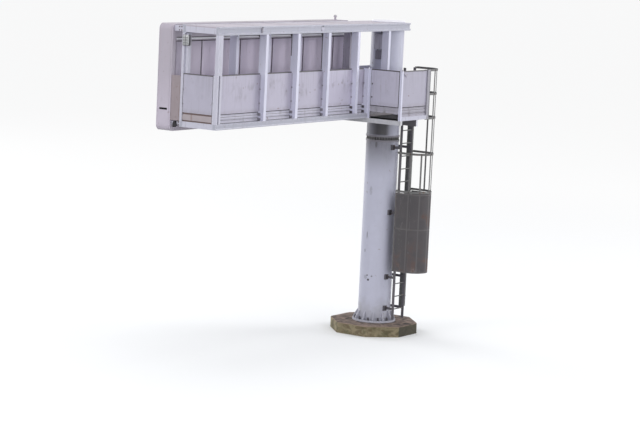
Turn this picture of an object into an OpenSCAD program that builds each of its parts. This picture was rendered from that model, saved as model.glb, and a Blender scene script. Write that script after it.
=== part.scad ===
// Cantilever sign gantry: one round column on an eight sided plinth, carrying a roofed walkway
// with a message sign case hung on its far side, a landing and a caged ladder.
// Millimetres, +Z up. The origin is on the column axis at ground level. +X runs along the
// walkway from its free left end to the column, and +Y points at the side the sign faces.

/* [Foundation] */
// Plinth size across opposite corners
plinth_across = 2080; // [1600:10:2600]
// Plinth height above ground
plinth_height = 250; // [150:5:500]
// Width of the base plate's rim outside the column
base_rim = 129; // [90:1:200]
// Base plate thickness
base_plate_thickness = 40; // [25:1:60]
// Number of gussets round the column's foot
gusset_count = 12; // [6:1:16]
// Gusset plate thickness
gusset_thickness = 20; // [8:1:30]
// Gusset height
gusset_height = 200; // [100:5:300]

/* [Column] */
// Column outside diameter
column_diameter = 762; // [500:2:1000]
// Column wall thickness
column_wall = 16; // [10:1:30]
// Height of the underside of the bolted column joint
joint_height = 4490; // [3500:10:5000]
// Thickness of each joint flange
joint_flange = 40; // [25:1:60]
// Recessed gap between the joint flanges
joint_gap = 72; // [30:2:120]
// Width of the joint flanges' rim outside the column
joint_rim = 12; // [8:1:40]
// Rise of the column's top over the roof
column_rise = 10; // [5:1:100]
// Thickness of the column's cap
cap_thickness = 22; // [10:1:40]

/* [Walkway] */
// Distance from the column axis to the free end of the walkway
reach = 7175; // [6000:5:9000]
// Height of the underside of the walkway frame
walk_bottom = 5130; // [4800:10:6000]
// Overrun of the frame past the column axis
overrun = 216; // [150:2:300]
// Gap between the column and the beams beside it
column_clearance = 10; // [5:1:200]
// Width of the frame beams
beam_width = 90; // [60:2:140]
// Depth of the lower frame beams
bottom_beam = 120; // [80:5:200]
// Clear height between the lower beams and the roof beams
clear_height = 1837; // [1700:1:2200]
// Depth of the roof beams
roof_beam = 175; // [100:5:250]
// Thickness of the roof sheet
roof_sheet = 30; // [10:1:50]
// Thickness of the floor deck
deck_thickness = 36; // [20:1:60]
// Height of the kick plates over the lower beams
kick_height = 180; // [100:5:300]
// Height of the side panels over the kick plates
panel_height = 826; // [600:2:1000]
// Thickness of the side panels
panel_thickness = 40; // [20:1:60]
// Thickness of the kick plates
kick_thickness = 30; // [10:1:40]

/* [Uprights] */
// Width of an upright along the walkway
upright_width = 90; // [50:2:140]
// Depth of an upright across the walkway
upright_depth = 180; // [80:2:240]
// Distance from the free end to the middle of the first upright
first_bay = 1714; // [1200:2:2200]
// Spacing of the uprights after the first
bay = 1178; // [900:2:1500]
// Distance of the last upright from the column axis
last_upright = 662; // [600:2:900]
// Distance of the last far upright behind the last near one
far_setback = 400; // [300:10:500]
// Width of the corner posts along the walkway
corner_width = 148; // [90:2:200]
// Depth of the near corner post
near_corner_depth = 90; // [60:2:110]
// Width of the near corner post's face beside the end panel
near_flange = 116; // [112:2:170]
// Depth of the far corner post
far_corner_depth = 130; // [120:2:300]
// Width of the far corner post's face beside the end panel
corner_flange = 60; // [40:2:110]

/* [Landing] */
// Distance of the left side of the landing from the column axis
landing_left = 1465; // [1200:5:1800]
// Distance of the right side of the landing from the column axis
landing_right = 255; // [150:5:400]
// Setback of the landing's front panel from the face of its posts
landing_setback = 30; // [0:2:50]
// Distance of the landing's outer edge past the front of the cage
landing_margin = 90; // [20:2:95]
// Depth of the first outrigger beam
first_outrigger_depth = 100; // [60:5:200]
// Depth of the second outrigger beam
second_outrigger_depth = 150; // [60:5:200]
// Distance between the left sides of the two outrigger beams
outrigger_spacing = 700; // [400:5:900]
// Width of the landing's right post
landing_post_width = 100; // [60:2:240]
// Thickness of the landing's deck
landing_sheet = 36; // [20:1:60]
// Height of the landing's edge beam
edge_beam = 90; // [60:2:140]

/* [Ladder] */
// Sideways offset of the ladder from the column axis
ladder_offset = 110; // [60:2:160]
// Distance of the ladder from the side of the walkway
ladder_stand_off = 100; // [60:1:200]
// Distance between the stile centres
stile_gap = 430; // [350:2:500]
// Depth of a stile bar
stile_depth = 65; // [40:1:90]
// Thickness of a stile bar
stile_thickness = 14; // [8:1:25]
// Height of the ladder's lower end over the plinth
ladder_foot = 80; // [40:5:450]
// Height of the ladder's upper end over the walkway's underside
ladder_rise = 1110; // [800:5:1200]
// Height of the first rung over the ladder's lower end
first_rung = 250; // [150:5:300]
// Spacing of the rungs
rung_spacing = 300; // [230:5:330]
// Diameter of a rung
rung_diameter = 26; // [20:1:40]
// Radius of the safety cage
cage_radius = 350; // [320:2:400]
// Height of a cage hoop bar
hoop_height = 50; // [30:1:80]
// Thickness of the cage bars
cage_bar = 8; // [5:1:12]
// Width of a cage strap
strap_width = 40; // [25:1:60]
// Height of the underside of the mesh guard
guard_bottom = 1500; // [1000:10:2000]
// Height of the mesh guard
guard_height = 1850; // [1000:10:2200]

/* [Sign case] */
// Length of the sign case
case_length = 6650; // [5000:10:8000]
// Height of the sign case
case_height = 2250; // [1800:10:3000]
// Depth of the sign case
case_depth = 360; // [250:5:500]
// Drop of the sign case below the walkway's underside
case_drop = 120; // [0:5:300]
// Clear gap between the walkway frame and the sign case
case_gap = 250; // [150:5:400]
// Corner radius of the sign case
case_corner = 120; // [40:5:250]
// Thickness of the case skin
case_skin = 40; // [20:1:60]
// Height of the fixed strip over the rear doors
door_head = 360; // [200:5:500]
// Height of the fixed strip under the rear doors
door_sill = 200; // [80:5:300]
// Width of the rear doors after the second
door_width = 1200; // [800:5:1600]
// Distance from the case's end to the first joint between doors
first_door = 1030; // [800:5:1600]
// Width of the second rear door
second_door = 1385; // [800:5:1700]

/* [Hidden] */
column_radius = column_diameter / 2;
column_inner = column_diameter - 2 * column_wall;
fit_gap = 0.3;
plate_top = plinth_height + base_plate_thickness;
base_plate_diameter = column_diameter + 2 * base_rim;
gusset_setback = 19;
gusset_reach = base_rim - gusset_setback;
gusset_lip = 40;
gusset_top = 12;
gusset_gap = 0.5;

joint_top = joint_height + 2 * joint_flange + joint_gap;
flange_diameter = column_diameter + 2 * joint_rim;
flange_inset = 80;
flange_bore = column_diameter - 2 * flange_inset;
sleeve_recess = 45;
sleeve_diameter = column_diameter - 2 * sleeve_recess;

beam_inner = column_radius + column_clearance;
half_walk = beam_inner + beam_width;
near_face = -half_walk;
left_end = -reach;
beam_top = walk_bottom + bottom_beam;
panel_bottom = beam_top + kick_height;
panel_top = panel_bottom + panel_height;
roof_bottom = beam_top + clear_height;
roof_top = roof_bottom + roof_beam;
roof_seat = roof_top - roof_sheet;
roof_cut = 12;
column_top = roof_top + column_rise;
cap_rim = 8;
cross_width = 80;
cross_top = beam_top - deck_thickness;
roof_cross_lift = 25;
deck_end_gap = 20;
saddle_depth = 91;

corner_right = left_end + corner_width;
panel_back = near_face + upright_depth;
half_post = upright_width / 2;
short_post_gap = 20;
short_post_left = -landing_left - short_post_gap;
short_post_width = 45;
last_panel_room = 150;
bay_count = floor((reach - landing_left - first_bay - last_panel_room) / bay);
post_x = [for (i = [0:bay_count]) left_end + first_bay + i * bay];
far_last_upright = last_upright + far_setback;
near_post_x = concat(post_x, [-last_upright]);
far_post_x = concat(post_x, [-far_last_upright]);

rail_size = 50;
rail_drop = 36;
rail_top = panel_top - rail_drop;
far_guard_end = 60;

ladder_y = near_face - ladder_stand_off;
cage_y = ladder_y - cage_radius;
cage_front = cage_y - cage_radius;
stile_left = ladder_offset - stile_gap / 2;
stile_right = ladder_offset + stile_gap / 2;
half_stile = stile_thickness / 2;
ladder_bottom = plinth_height + ladder_foot;
ladder_top = walk_bottom + ladder_rise;
top_rung_room = 80;

landing_near = cage_front - landing_margin;
landing_floor = walk_bottom;
landing_post = 100;
landing_thin_post = 60;
landing_rear_post = 40;
landing_edge_width = 70;
landing_kick_gap = 160;
second_outrigger_width = 60;
first_outrigger_width = 100;

foot_bracket_height = 293;
second_bracket_height = 1034;
top_bracket_drop = 119;
foot_bracket = plate_top + foot_bracket_height;
second_bracket = plate_top + second_bracket_height;
top_bracket = joint_height - top_bracket_drop;
bracket_heights = [foot_bracket, second_bracket, (second_bracket + top_bracket) / 2, top_bracket];
arm_width = 12;
arm_height = 60;
seat_depth = 30;
arm_setback = 15;
lug_height = 120;
lug_width = 110;
lug_shift = 65;
lug_depth = 65;
lug_bite = 4;

guard_top = guard_bottom + guard_height;
guard_sheet = 6;
guard_hoop_gap = 10;
lower_hoop_drop = 880;
end_hoop_drop = 30;
middle_hoop_rise = 530;
lower_hoops = [guard_top + guard_hoop_gap, walk_bottom - lower_hoop_drop];
upper_hoops = [walk_bottom - end_hoop_drop, walk_bottom + middle_hoop_rise, ladder_top - end_hoop_drop];
hoop_inner = cage_radius - cage_bar;
strap_seat = sqrt(pow(hoop_inner, 2) - pow(strap_width / 2, 2)) - fit_gap;

duct_width = 100;
duct_depth = 120;
duct_gap = 2;
duct_lift = 270;
duct_bottom = ladder_bottom + duct_lift;

case_left = left_end;
case_right = case_left + case_length;
case_back = half_walk + case_gap;
case_front = case_back + case_depth;
case_bottom = walk_bottom - case_drop;
case_top = case_bottom + case_height;
case_middle_left = case_left + case_corner;
case_middle_right = case_right - case_corner;
door_bottom = case_bottom + door_sill;
door_top = case_top - door_head;
door_setback = 8;
door_thickness = 22;
door_back = case_back + door_setback;
door_front = door_back + door_thickness;
door_joint = 5;
end_recess = 60;
last_door_room = 100;
door_start = case_left + first_door;
doors_end = case_middle_right - end_recess;
door_row = door_start + second_door;
door_count = floor((doors_end - last_door_room - door_row) / door_width);
sign_setback = 20;
sign_thickness = 30;
hanger_width = 60;
hanger_inset = 20;
hanger_drop = 30;
first_hanger = 80;
hanger_x = concat([left_end + first_hanger], [for (x = post_x) if (x < case_middle_right) x]);
gap_panel_drop = 61;
gap_panel_top = panel_top - gap_panel_drop;
gap_panel_inset = 10;
gap_panel_thickness = 20;
drip_lift = 30;
drip_height = 30;
drip_reach = 25;

sensor_inset = 240;
sensor_setback = 250;
sensor_stem = 60;
sensor_stem_diameter = 50;
sensor_head = 55;
sensor_base_diameter = 90;
sensor_top_diameter = 60;
lamp_depth = 60;
lamp_width = 180;
lamp_height = 230;
lamp_edge = 35;
lamp_drop = 27;
box_drop = 87;
box_height = 360;
box_width = 224;
box_depth = 90;
box_shift = 60;
lower_box_drop = 477;
lower_box_height = 200;
lower_box_width = 190;
lower_box_depth = 60;

steel = [0.78, 0.77, 0.82];
panel_grey = [0.74, 0.73, 0.78];
stain = [0.66, 0.60, 0.58];
concrete = [0.58, 0.50, 0.42];
dark_mesh = [0.30, 0.29, 0.29];
galvanised = [0.55, 0.56, 0.57];
case_grey = [0.66, 0.62, 0.66];
dark = [0.10, 0.10, 0.11];

module block(x0, x1, y0, y1, z0, z1) {
    translate([x0, y0, z0])
        cube([x1 - x0, y1 - y0, z1 - z0]);
}

module tube(outer, inner, z0, z1) {
    translate([0, 0, z0])
        difference() {
            cylinder(h = z1 - z0, d = outer, $fn = 96);
            translate([0, 0, -1])
                cylinder(h = z1 - z0 + 2, d = inner, $fn = 96);
        }
}

// Distance of the column's outline from its axis, seen from the front at a sideways offset
function column_edge(offset) = sqrt(max(0, pow(column_radius, 2) - pow(offset, 2)));

// The room that pieces fitted round the column leave for it
module column_room(gap, z0, z1) {
    translate([0, 0, z0 - 1])
        cylinder(h = z1 - z0 + 2, d = column_diameter + 2 * gap, $fn = 96);
}

module plinth() {
    color(concrete)
        rotate([0, 0, 22.5])
            cylinder(h = plinth_height, d = plinth_across, $fn = 8);
}

module base_plate() {
    color(steel)
        translate([0, 0, plinth_height])
            cylinder(h = base_plate_thickness, d = base_plate_diameter, $fn = 96);
}

module base_gussets() {
    color(steel)
        for (i = [0:gusset_count - 1])
            rotate([0, 0, i * 360 / gusset_count])
                translate([column_radius + gusset_gap, gusset_thickness / 2, plate_top])
                    rotate([90, 0, 0])
                        linear_extrude(height = gusset_thickness)
                            polygon([
                                [0, 0],
                                [gusset_reach, 0],
                                [gusset_reach, gusset_lip],
                                [gusset_top, gusset_height],
                                [0, gusset_height]
                            ]);
}

module lower_column() {
    color(steel)
        tube(column_diameter, column_inner, plate_top, joint_height);
}

module joint_flanges() {
    color(steel) {
        tube(flange_diameter, flange_bore, joint_height, joint_height + joint_flange);
        tube(flange_diameter, flange_bore, joint_top - joint_flange, joint_top);
    }
}

module joint_sleeve() {
    color(dark)
        tube(sleeve_diameter, flange_bore, joint_height + joint_flange, joint_top - joint_flange);
}

module upper_column() {
    color(steel)
        tube(column_diameter, column_inner, joint_top, column_top);
}

module column_cap() {
    color(steel)
        translate([0, 0, column_top])
            cylinder(h = cap_thickness, d = column_diameter + 2 * cap_rim, $fn = 96);
}

module saddle(z0, z1, side) {
    middle = side * (beam_inner - saddle_depth / 2);
    difference() {
        block(-overrun, overrun, middle - saddle_depth / 2, middle + saddle_depth / 2, z0, z1);
        column_room(fit_gap, z0, z1);
    }
}

module column_saddles() {
    color(steel)
        for (side = [-1, 1]) {
            saddle(walk_bottom, beam_top, side);
            saddle(roof_bottom, roof_seat, side);
        }
}

module near_top_beam() {
    color(steel)
        block(left_end, overrun, near_face, -beam_inner, roof_bottom, roof_top);
}

module far_top_beam() {
    color(steel)
        block(left_end, overrun, beam_inner, half_walk, roof_bottom, roof_top);
}

module near_bottom_beam() {
    color(steel)
        block(left_end, overrun, near_face, -beam_inner, walk_bottom, beam_top);
}

module far_bottom_beam() {
    color(steel)
        block(left_end, overrun, beam_inner, half_walk, walk_bottom, beam_top);
}

module cross_beam(x, z0, z1) {
    block(x - cross_width / 2, x + cross_width / 2, -beam_inner, beam_inner, z0, z1);
}

module top_cross_beams() {
    color(steel)
        for (x = concat([left_end + cross_width / 2], near_post_x))
            cross_beam(x, roof_bottom + roof_cross_lift, roof_seat);
}

module bottom_cross_beams() {
    color(steel) {
        cross_beam(left_end + cross_width / 2, walk_bottom, beam_top);
        for (x = near_post_x)
            cross_beam(x, walk_bottom, cross_top);
    }
}

module roof_cover() {
    color(steel)
        difference() {
            block(left_end, overrun, -beam_inner, beam_inner, roof_seat, roof_top);
            column_room(roof_cut, roof_seat, roof_top);
        }
}

module floor_deck() {
    color(galvanised)
        block(left_end + cross_width, -column_radius - deck_end_gap, -beam_inner, beam_inner,
            cross_top, beam_top);
}

module corner_posts() {
    color(steel) {
        block(left_end, corner_right, near_face, near_face + near_corner_depth, beam_top, roof_bottom);
        block(left_end, left_end + panel_thickness, near_face + near_corner_depth, near_face + near_flange,
            beam_top, panel_top);
        block(left_end + panel_thickness, corner_right, near_face + near_corner_depth, panel_back,
            beam_top, panel_top);
        block(left_end + panel_thickness, corner_right, half_walk - far_corner_depth, half_walk,
            beam_top, roof_bottom);
        block(left_end, left_end + panel_thickness, half_walk - corner_flange, half_walk,
            beam_top, roof_bottom);
    }
}

module upright(x, y0) {
    block(x - half_post, x + half_post, y0, y0 + upright_depth, beam_top, roof_bottom);
}

module uprights() {
    color(steel) {
        for (x = near_post_x)
            upright(x, near_face);
        for (x = far_post_x)
            upright(x, half_walk - upright_depth);
        block(short_post_left, short_post_left + short_post_width, near_face, panel_back, beam_top, panel_top);
    }
}

// One sheet in each bay, level with the backs of the uprights, and one across the free end
module side_sheets(thickness, z0, z1) {
    edges = concat([corner_right - half_post], post_x, [short_post_left + half_post]);
    for (i = [0:len(edges) - 2])
        block(edges[i] + half_post, edges[i + 1] - half_post, panel_back - thickness, panel_back, z0, z1);
    block(left_end, left_end + thickness, near_face + near_flange, half_walk - corner_flange, z0, z1);
}

module guard_panels() {
    color(panel_grey)
        side_sheets(panel_thickness, panel_bottom, panel_top);
}

module kick_plates() {
    color(stain)
        side_sheets(kick_thickness, beam_top, panel_bottom);
}

module far_guard() {
    color(panel_grey) {
        block(half_post - far_last_upright, -far_guard_end, half_walk - panel_thickness, half_walk,
            beam_top, rail_top - rail_size);
        block(half_post - far_last_upright, overrun, half_walk - rail_size, half_walk,
            rail_top - rail_size, rail_top);
        block(overrun - rail_size, overrun, half_walk - rail_size, half_walk, beam_top, roof_bottom);
    }
}

module outrigger(x, width, depth) {
    block(x, x + width, landing_near, half_walk, walk_bottom - depth, walk_bottom);
}

module landing_outriggers() {
    color(steel) {
        outrigger(-landing_left, first_outrigger_width, first_outrigger_depth);
        outrigger(-landing_left + outrigger_spacing, second_outrigger_width, second_outrigger_depth);
    }
}

module landing_edge_beams() {
    color(steel) {
        block(-landing_left + landing_thin_post, -landing_right - landing_post_width,
            landing_near, landing_near + landing_edge_width, landing_floor, landing_floor + edge_beam);
        block(-landing_right - landing_post_width, -landing_right, landing_near + landing_post, near_face,
            landing_floor, landing_floor + landing_sheet);
    }
}

module landing_deck() {
    color(galvanised)
        block(-landing_left + landing_thin_post, -landing_right - landing_post_width,
            landing_near + landing_edge_width, near_face, landing_floor, landing_floor + landing_sheet);
}

module landing_posts() {
    color(steel) {
        block(-landing_left, -landing_left + landing_thin_post,
            landing_near, landing_near + landing_thin_post, landing_floor, panel_top);
        block(-landing_right - landing_post_width, -landing_right,
            landing_near, landing_near + landing_post, landing_floor, panel_top);
        block(-landing_left, -landing_left + landing_rear_post,
            near_face - landing_thin_post, near_face, landing_floor, panel_top);
    }
}

module landing_side(thickness, z0, z1) {
    block(-landing_left, -landing_left + thickness,
        landing_near + landing_thin_post, near_face - landing_thin_post, z0, z1);
}

module landing_front(thickness, z0, z1) {
    block(-landing_left + landing_thin_post, -landing_right - landing_post_width,
        landing_near + landing_setback, landing_near + landing_setback + thickness, z0, z1);
}

module landing_panels() {
    color(panel_grey) {
        landing_side(panel_thickness, panel_bottom, panel_top);
        landing_front(panel_thickness, panel_bottom, panel_top);
    }
}

module landing_kick_plates() {
    color(stain) {
        landing_side(kick_thickness, landing_floor + landing_kick_gap, panel_bottom);
        landing_front(kick_thickness, landing_floor + edge_beam, panel_bottom);
    }
}

module ladder_stiles() {
    color(galvanised)
        for (x = [stile_left, stile_right])
            block(x - half_stile, x + half_stile,
                ladder_y - stile_depth / 2, ladder_y + stile_depth / 2, ladder_bottom, ladder_top);
}

module ladder_rungs() {
    color(galvanised)
        for (z = [ladder_bottom + first_rung:rung_spacing:ladder_top - top_rung_room])
            translate([stile_left + half_stile, ladder_y, z])
                rotate([0, 90, 0])
                    cylinder(h = stile_gap - stile_thickness, d = rung_diameter, $fn = 16);
}

module bracket_arm(x, z) {
    block(x, x + arm_width, ladder_y + arm_setback, seat_depth - column_edge(x),
        z - arm_height / 2, z + arm_height / 2);
}

module ladder_brackets() {
    color(galvanised)
        difference() {
            for (z = bracket_heights) {
                bracket_arm(stile_left + half_stile, z);
                bracket_arm(stile_right - half_stile - arm_width, z);
                block(stile_left - lug_shift, stile_left - lug_shift + lug_width,
                    -column_radius - lug_bite, -column_radius - lug_bite + lug_depth,
                    z - lug_height / 2, z + lug_height / 2);
            }
            column_room(fit_gap, plate_top, joint_height);
        }
}

module ladder_guard() {
    outer_left = ladder_offset - cage_radius;
    outer_right = ladder_offset + cage_radius;
    color(dark_mesh) {
        translate([ladder_offset, cage_y, guard_bottom])
            rotate([0, 0, 180])
                rotate_extrude(angle = 180, $fn = 64)
                    translate([cage_radius - guard_sheet, 0])
                        square([guard_sheet, guard_height]);
        for (x = [outer_left, outer_right - guard_sheet])
            block(x, x + guard_sheet, cage_y, ladder_y, guard_bottom, guard_top);
        for (x = [[outer_left, stile_left - half_stile], [stile_right + half_stile, outer_right]])
            block(x[0], x[1], ladder_y - guard_sheet, ladder_y, guard_bottom, guard_top);
    }
}

module hoop_arc(z, start, turn) {
    translate([ladder_offset, cage_y, z])
        rotate([0, 0, start])
            rotate_extrude(angle = turn, $fn = 64)
                translate([hoop_inner, 0])
                    square([cage_bar, hoop_height]);
}

module hoop_leg(side, z) {
    middle = ladder_offset + side * (cage_radius - cage_bar / 2);
    outer = ladder_offset + side * cage_radius;
    stile = ladder_offset + side * (stile_gap / 2 + half_stile);
    block(middle - cage_bar / 2, middle + cage_bar / 2, cage_y, ladder_y, z, z + hoop_height);
    block(min(stile, outer), max(stile, outer), ladder_y - cage_bar, ladder_y, z, z + hoop_height);
}

module cage_hoops() {
    color(galvanised) {
        for (z = lower_hoops) {
            hoop_arc(z, 180, 180);
            hoop_leg(-1, z);
            hoop_leg(1, z);
        }
        for (z = upper_hoops) {
            hoop_arc(z, 270, 90);
            hoop_leg(1, z);
            block(-landing_right, ladder_offset, cage_front, cage_front + cage_bar, z, z + hoop_height);
        }
    }
}

module strap(angle, z0, z1) {
    translate([ladder_offset, cage_y, 0])
        rotate([0, 0, angle])
            block(strap_seat - cage_bar, strap_seat, -strap_width / 2, strap_width / 2, z0, z1);
}

module cage_straps() {
    color(galvanised) {
        for (angle = [0, -45, -90])
            strap(angle, lower_hoops[0], upper_hoops[2] + hoop_height);
        for (angle = [-135, -180])
            strap(angle, lower_hoops[0], lower_hoops[1] + hoop_height);
    }
}

module side_duct() {
    color(dark_mesh)
        block(stile_right + half_stile, stile_right + half_stile + duct_width,
            ladder_y + duct_gap, ladder_y + duct_gap + duct_depth, duct_bottom, walk_bottom - duct_gap);
}

module case_outline() {
    translate([0, case_front, 0])
        rotate([90, 0, 0])
            linear_extrude(height = case_depth)
                hull()
                    for (x = [case_middle_left, case_middle_right])
                        for (z = [case_bottom + case_corner, case_top - case_corner])
                            translate([x, z])
                                circle(r = case_corner, $fn = 64);
}

module case_end_caps() {
    color(case_grey)
        for (x = [case_left, case_middle_right])
            intersection() {
                case_outline();
                block(x, x + case_corner, case_back, case_front, case_bottom, case_top);
            }
}

module case_top_and_bottom() {
    color(case_grey)
        for (z = [
            [case_top - case_skin, case_top, door_top, case_top - case_skin],
            [case_bottom, case_bottom + case_skin, case_bottom + case_skin, door_bottom]
        ]) {
            block(case_middle_left, case_middle_right, case_back, case_front, z[0], z[1]);
            block(case_middle_left, case_middle_right, case_back, door_front, z[2], z[3]);
        }
}

module door(x0, x1) {
    block(x0 + door_joint, x1 - door_joint, door_back, door_front, door_bottom, door_top);
}

module case_doors() {
    color(case_grey) {
        door(case_middle_left, door_start);
        door(door_start, door_row);
        for (i = [0:door_count - 1])
            door(door_row + i * door_width, door_row + (i + 1) * door_width);
        door(door_row + door_count * door_width, doors_end);
    }
}

module sign_face() {
    color(dark)
        block(case_middle_left, case_middle_right, case_front - sign_setback - sign_thickness,
            case_front - sign_setback, case_bottom + case_skin, case_top - case_skin);
}

module case_hangers() {
    color(steel)
        for (x = hanger_x)
            for (z = [
                [walk_bottom + hanger_inset, beam_top - hanger_inset],
                [roof_bottom + hanger_drop, roof_top - hanger_drop]
            ])
                block(x - hanger_width / 2, x + hanger_width / 2, half_walk, case_back, z[0], z[1]);
}

module gap_panel() {
    color(stain)
        block(left_end + gap_panel_inset, left_end + gap_panel_inset + gap_panel_thickness,
            half_walk, case_back, beam_top, gap_panel_top);
}

module drip_rail() {
    color(steel)
        block(case_middle_left, case_middle_right, case_back - drip_reach, case_back,
            door_top + drip_lift, door_top + drip_lift + drip_height);
}

module light_sensor() {
    color(steel)
        translate([case_right - sensor_inset, case_back + sensor_setback, case_top]) {
            cylinder(h = sensor_stem, d = sensor_stem_diameter, $fn = 32);
            translate([0, 0, sensor_stem])
                cylinder(h = sensor_head, d1 = sensor_base_diameter, d2 = sensor_top_diameter, $fn = 32);
        }
}

module bulkhead_lamp() {
    lamp_top = roof_bottom - lamp_drop;
    color(galvanised) {
        block(left_end - lamp_depth, left_end, half_walk - lamp_edge - lamp_width, half_walk - lamp_edge,
            lamp_top - lamp_height, lamp_top);
        block(left_end, left_end + panel_thickness, half_walk - lamp_edge - lamp_width,
            half_walk - corner_flange, lamp_top - lamp_height, lamp_top);
    }
}

module boxed_on_column(width, depth, top, height) {
    block(-column_radius - depth, seat_depth - column_edge(width / 2 + box_shift),
        -width / 2 - box_shift, width / 2 - box_shift, top - height, top);
}

module column_box() {
    color(galvanised)
        difference() {
            union() {
                boxed_on_column(box_width, box_depth, roof_bottom - box_drop, box_height);
                boxed_on_column(lower_box_width, lower_box_depth, roof_bottom - lower_box_drop,
                    lower_box_height);
            }
            column_room(fit_gap, beam_top, roof_bottom);
        }
}

plinth();
base_plate();
base_gussets();
lower_column();
joint_flanges();
joint_sleeve();
upper_column();
column_cap();
column_saddles();
near_top_beam();
far_top_beam();
near_bottom_beam();
far_bottom_beam();
top_cross_beams();
bottom_cross_beams();
roof_cover();
floor_deck();
corner_posts();
uprights();
guard_panels();
kick_plates();
far_guard();
landing_outriggers();
landing_edge_beams();
landing_deck();
landing_posts();
landing_panels();
landing_kick_plates();
ladder_stiles();
ladder_rungs();
ladder_brackets();
ladder_guard();
cage_hoops();
cage_straps();
side_duct();
case_end_caps();
case_top_and_bottom();
case_doors();
sign_face();
case_hangers();
gap_panel();
drip_rail();
light_sensor();
bulkhead_lamp();
column_box();
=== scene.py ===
# Overhead sign gantry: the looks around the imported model
import bmesh
import bpy
import math
from mathutils import Matrix, Vector, noise


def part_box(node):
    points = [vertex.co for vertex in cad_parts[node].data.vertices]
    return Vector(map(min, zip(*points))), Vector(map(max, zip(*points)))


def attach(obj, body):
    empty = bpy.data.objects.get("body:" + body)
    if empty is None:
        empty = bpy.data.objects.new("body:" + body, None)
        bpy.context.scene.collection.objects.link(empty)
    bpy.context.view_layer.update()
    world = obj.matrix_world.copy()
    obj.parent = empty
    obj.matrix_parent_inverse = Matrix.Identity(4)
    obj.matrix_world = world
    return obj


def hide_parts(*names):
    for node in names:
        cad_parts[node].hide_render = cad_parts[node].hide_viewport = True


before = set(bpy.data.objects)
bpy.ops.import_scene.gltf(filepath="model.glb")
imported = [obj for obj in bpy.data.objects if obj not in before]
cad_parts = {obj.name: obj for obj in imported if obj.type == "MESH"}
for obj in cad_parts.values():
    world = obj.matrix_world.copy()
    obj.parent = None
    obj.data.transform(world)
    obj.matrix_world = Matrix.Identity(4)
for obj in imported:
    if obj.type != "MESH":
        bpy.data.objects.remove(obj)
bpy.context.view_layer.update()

print("stage: frame loaded, nodes:", len(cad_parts))


# shader maths
class Wire:  # one output of a node, which takes part in sums
    def __init__(self, nodes, socket):
        self.nodes = nodes
        self.socket = socket

    def sum(self, operation, first, second):
        return self.nodes.node("ShaderNodeMath", {"operation": operation}, {0: first, 1: second})

    def __add__(self, other):
        return self.sum("ADD", self, other)

    def __radd__(self, other):
        return self.sum("ADD", other, self)

    def __sub__(self, other):
        return self.sum("SUBTRACT", self, other)

    def __rsub__(self, other):
        return self.sum("SUBTRACT", other, self)

    def __mul__(self, other):
        return self.sum("MULTIPLY", self, other)

    def __rmul__(self, other):
        return self.sum("MULTIPLY", other, self)


class Nodes:  # the nodes of a material or of the sky
    def __init__(self, tree):
        self.tree = tree

    def plug(self, socket, value):
        if isinstance(value, Wire):
            self.tree.links.new(value.socket, socket)
        else:
            socket.default_value = value

    def node(self, kind, settings=None, sockets=None, out=0):
        made = self.tree.nodes.new(kind)
        for key, value in (settings or {}).items():
            setattr(made, key, value)
        for key, value in (sockets or {}).items():
            self.plug(made.inputs[key], value)
        return Wire(self, made.outputs[out])

    def backdrop(self):  # 1 where the pale backdrop is seen, straight on or in metal and glass
        seen = self.node("ShaderNodeLightPath", out="Is Camera Ray")
        for ray in ("Is Glossy Ray", "Is Transmission Ray"):
            other = self.node("ShaderNodeLightPath", out=ray)
            seen = self.node("ShaderNodeMath", {"operation": "MAXIMUM"}, {0: seen, 1: other})
        return seen


class Finish(Nodes):  # one material, with its shader
    def __init__(self, name, roughness=0.5, metallic=0.0):
        self.material = bpy.data.materials.new(name)
        self.material.use_nodes = True
        super().__init__(self.material.node_tree)
        self.shader = self.tree.nodes["Principled BSDF"]
        self.set("Roughness", roughness)
        self.set("Metallic", metallic)
        self.place = self.node("ShaderNodeTexCoord", out="Object")

    def set(self, key, value):
        self.plug(self.shader.inputs[key], value)

    def speckle(self, scale, detail=3.0, stretch=(1, 1, 1), distortion=0.0, shift=0.0):
        moved = {"Vector": self.place, "Scale": stretch, "Location": (shift, shift, shift)}
        spot = self.node("ShaderNodeMapping", {}, moved)
        grain = {"Vector": spot, "Scale": scale, "Detail": detail, "Distortion": distortion}
        return self.node("ShaderNodeTexNoise", {}, grain)

    def ease(self, value, low, high, start=0.0, end=1.0):  # start below low, end above high
        return self.node("ShaderNodeMapRange", {"interpolation_type": "SMOOTHSTEP"},
                         {0: value, 1: low, 2: high, 3: start, 4: end})

    def mix(self, mask, first, second):  # of wires, or of colours as they show on a screen
        ends = [end if isinstance(end, Wire) else (*linear(end), 1.0) for end in (first, second)]
        return self.node("ShaderNodeMix", {"data_type": "RGBA"}, {0: mask, 6: ends[0], 7: ends[1]}, out=2)

    def brighten(self, colour, amount):
        return self.node("ShaderNodeVectorMath", {"operation": "SCALE"}, {0: colour, 3: amount})

    def axis(self, which):
        return self.node("ShaderNodeSeparateXYZ", {}, {0: self.place}, out=which)

    def facing(self, which):  # how far the surface faces along x, y or z
        normal = self.node("ShaderNodeNewGeometry", out="Normal")
        return self.node("ShaderNodeSeparateXYZ", {}, {0: normal}, out=which)

    def nearTo(self, spot, reach):  # 1 at the spot, 0 past its reach
        away = self.node("ShaderNodeVectorMath", {"operation": "SUBTRACT"}, {0: self.place, 1: spot})
        scaled = self.node("ShaderNodeVectorMath", {"operation": "DIVIDE"}, {0: away, 1: reach})
        length = self.node("ShaderNodeVectorMath", {"operation": "LENGTH"}, {0: scaled}, out="Value")
        return self.ease(length, 1.0, 0.55)

    def bump(self, height, strength, distance):
        raised = {"Height": height, "Strength": strength, "Distance": distance}
        self.set("Normal", self.node("ShaderNodeBump", {}, raised))


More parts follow.
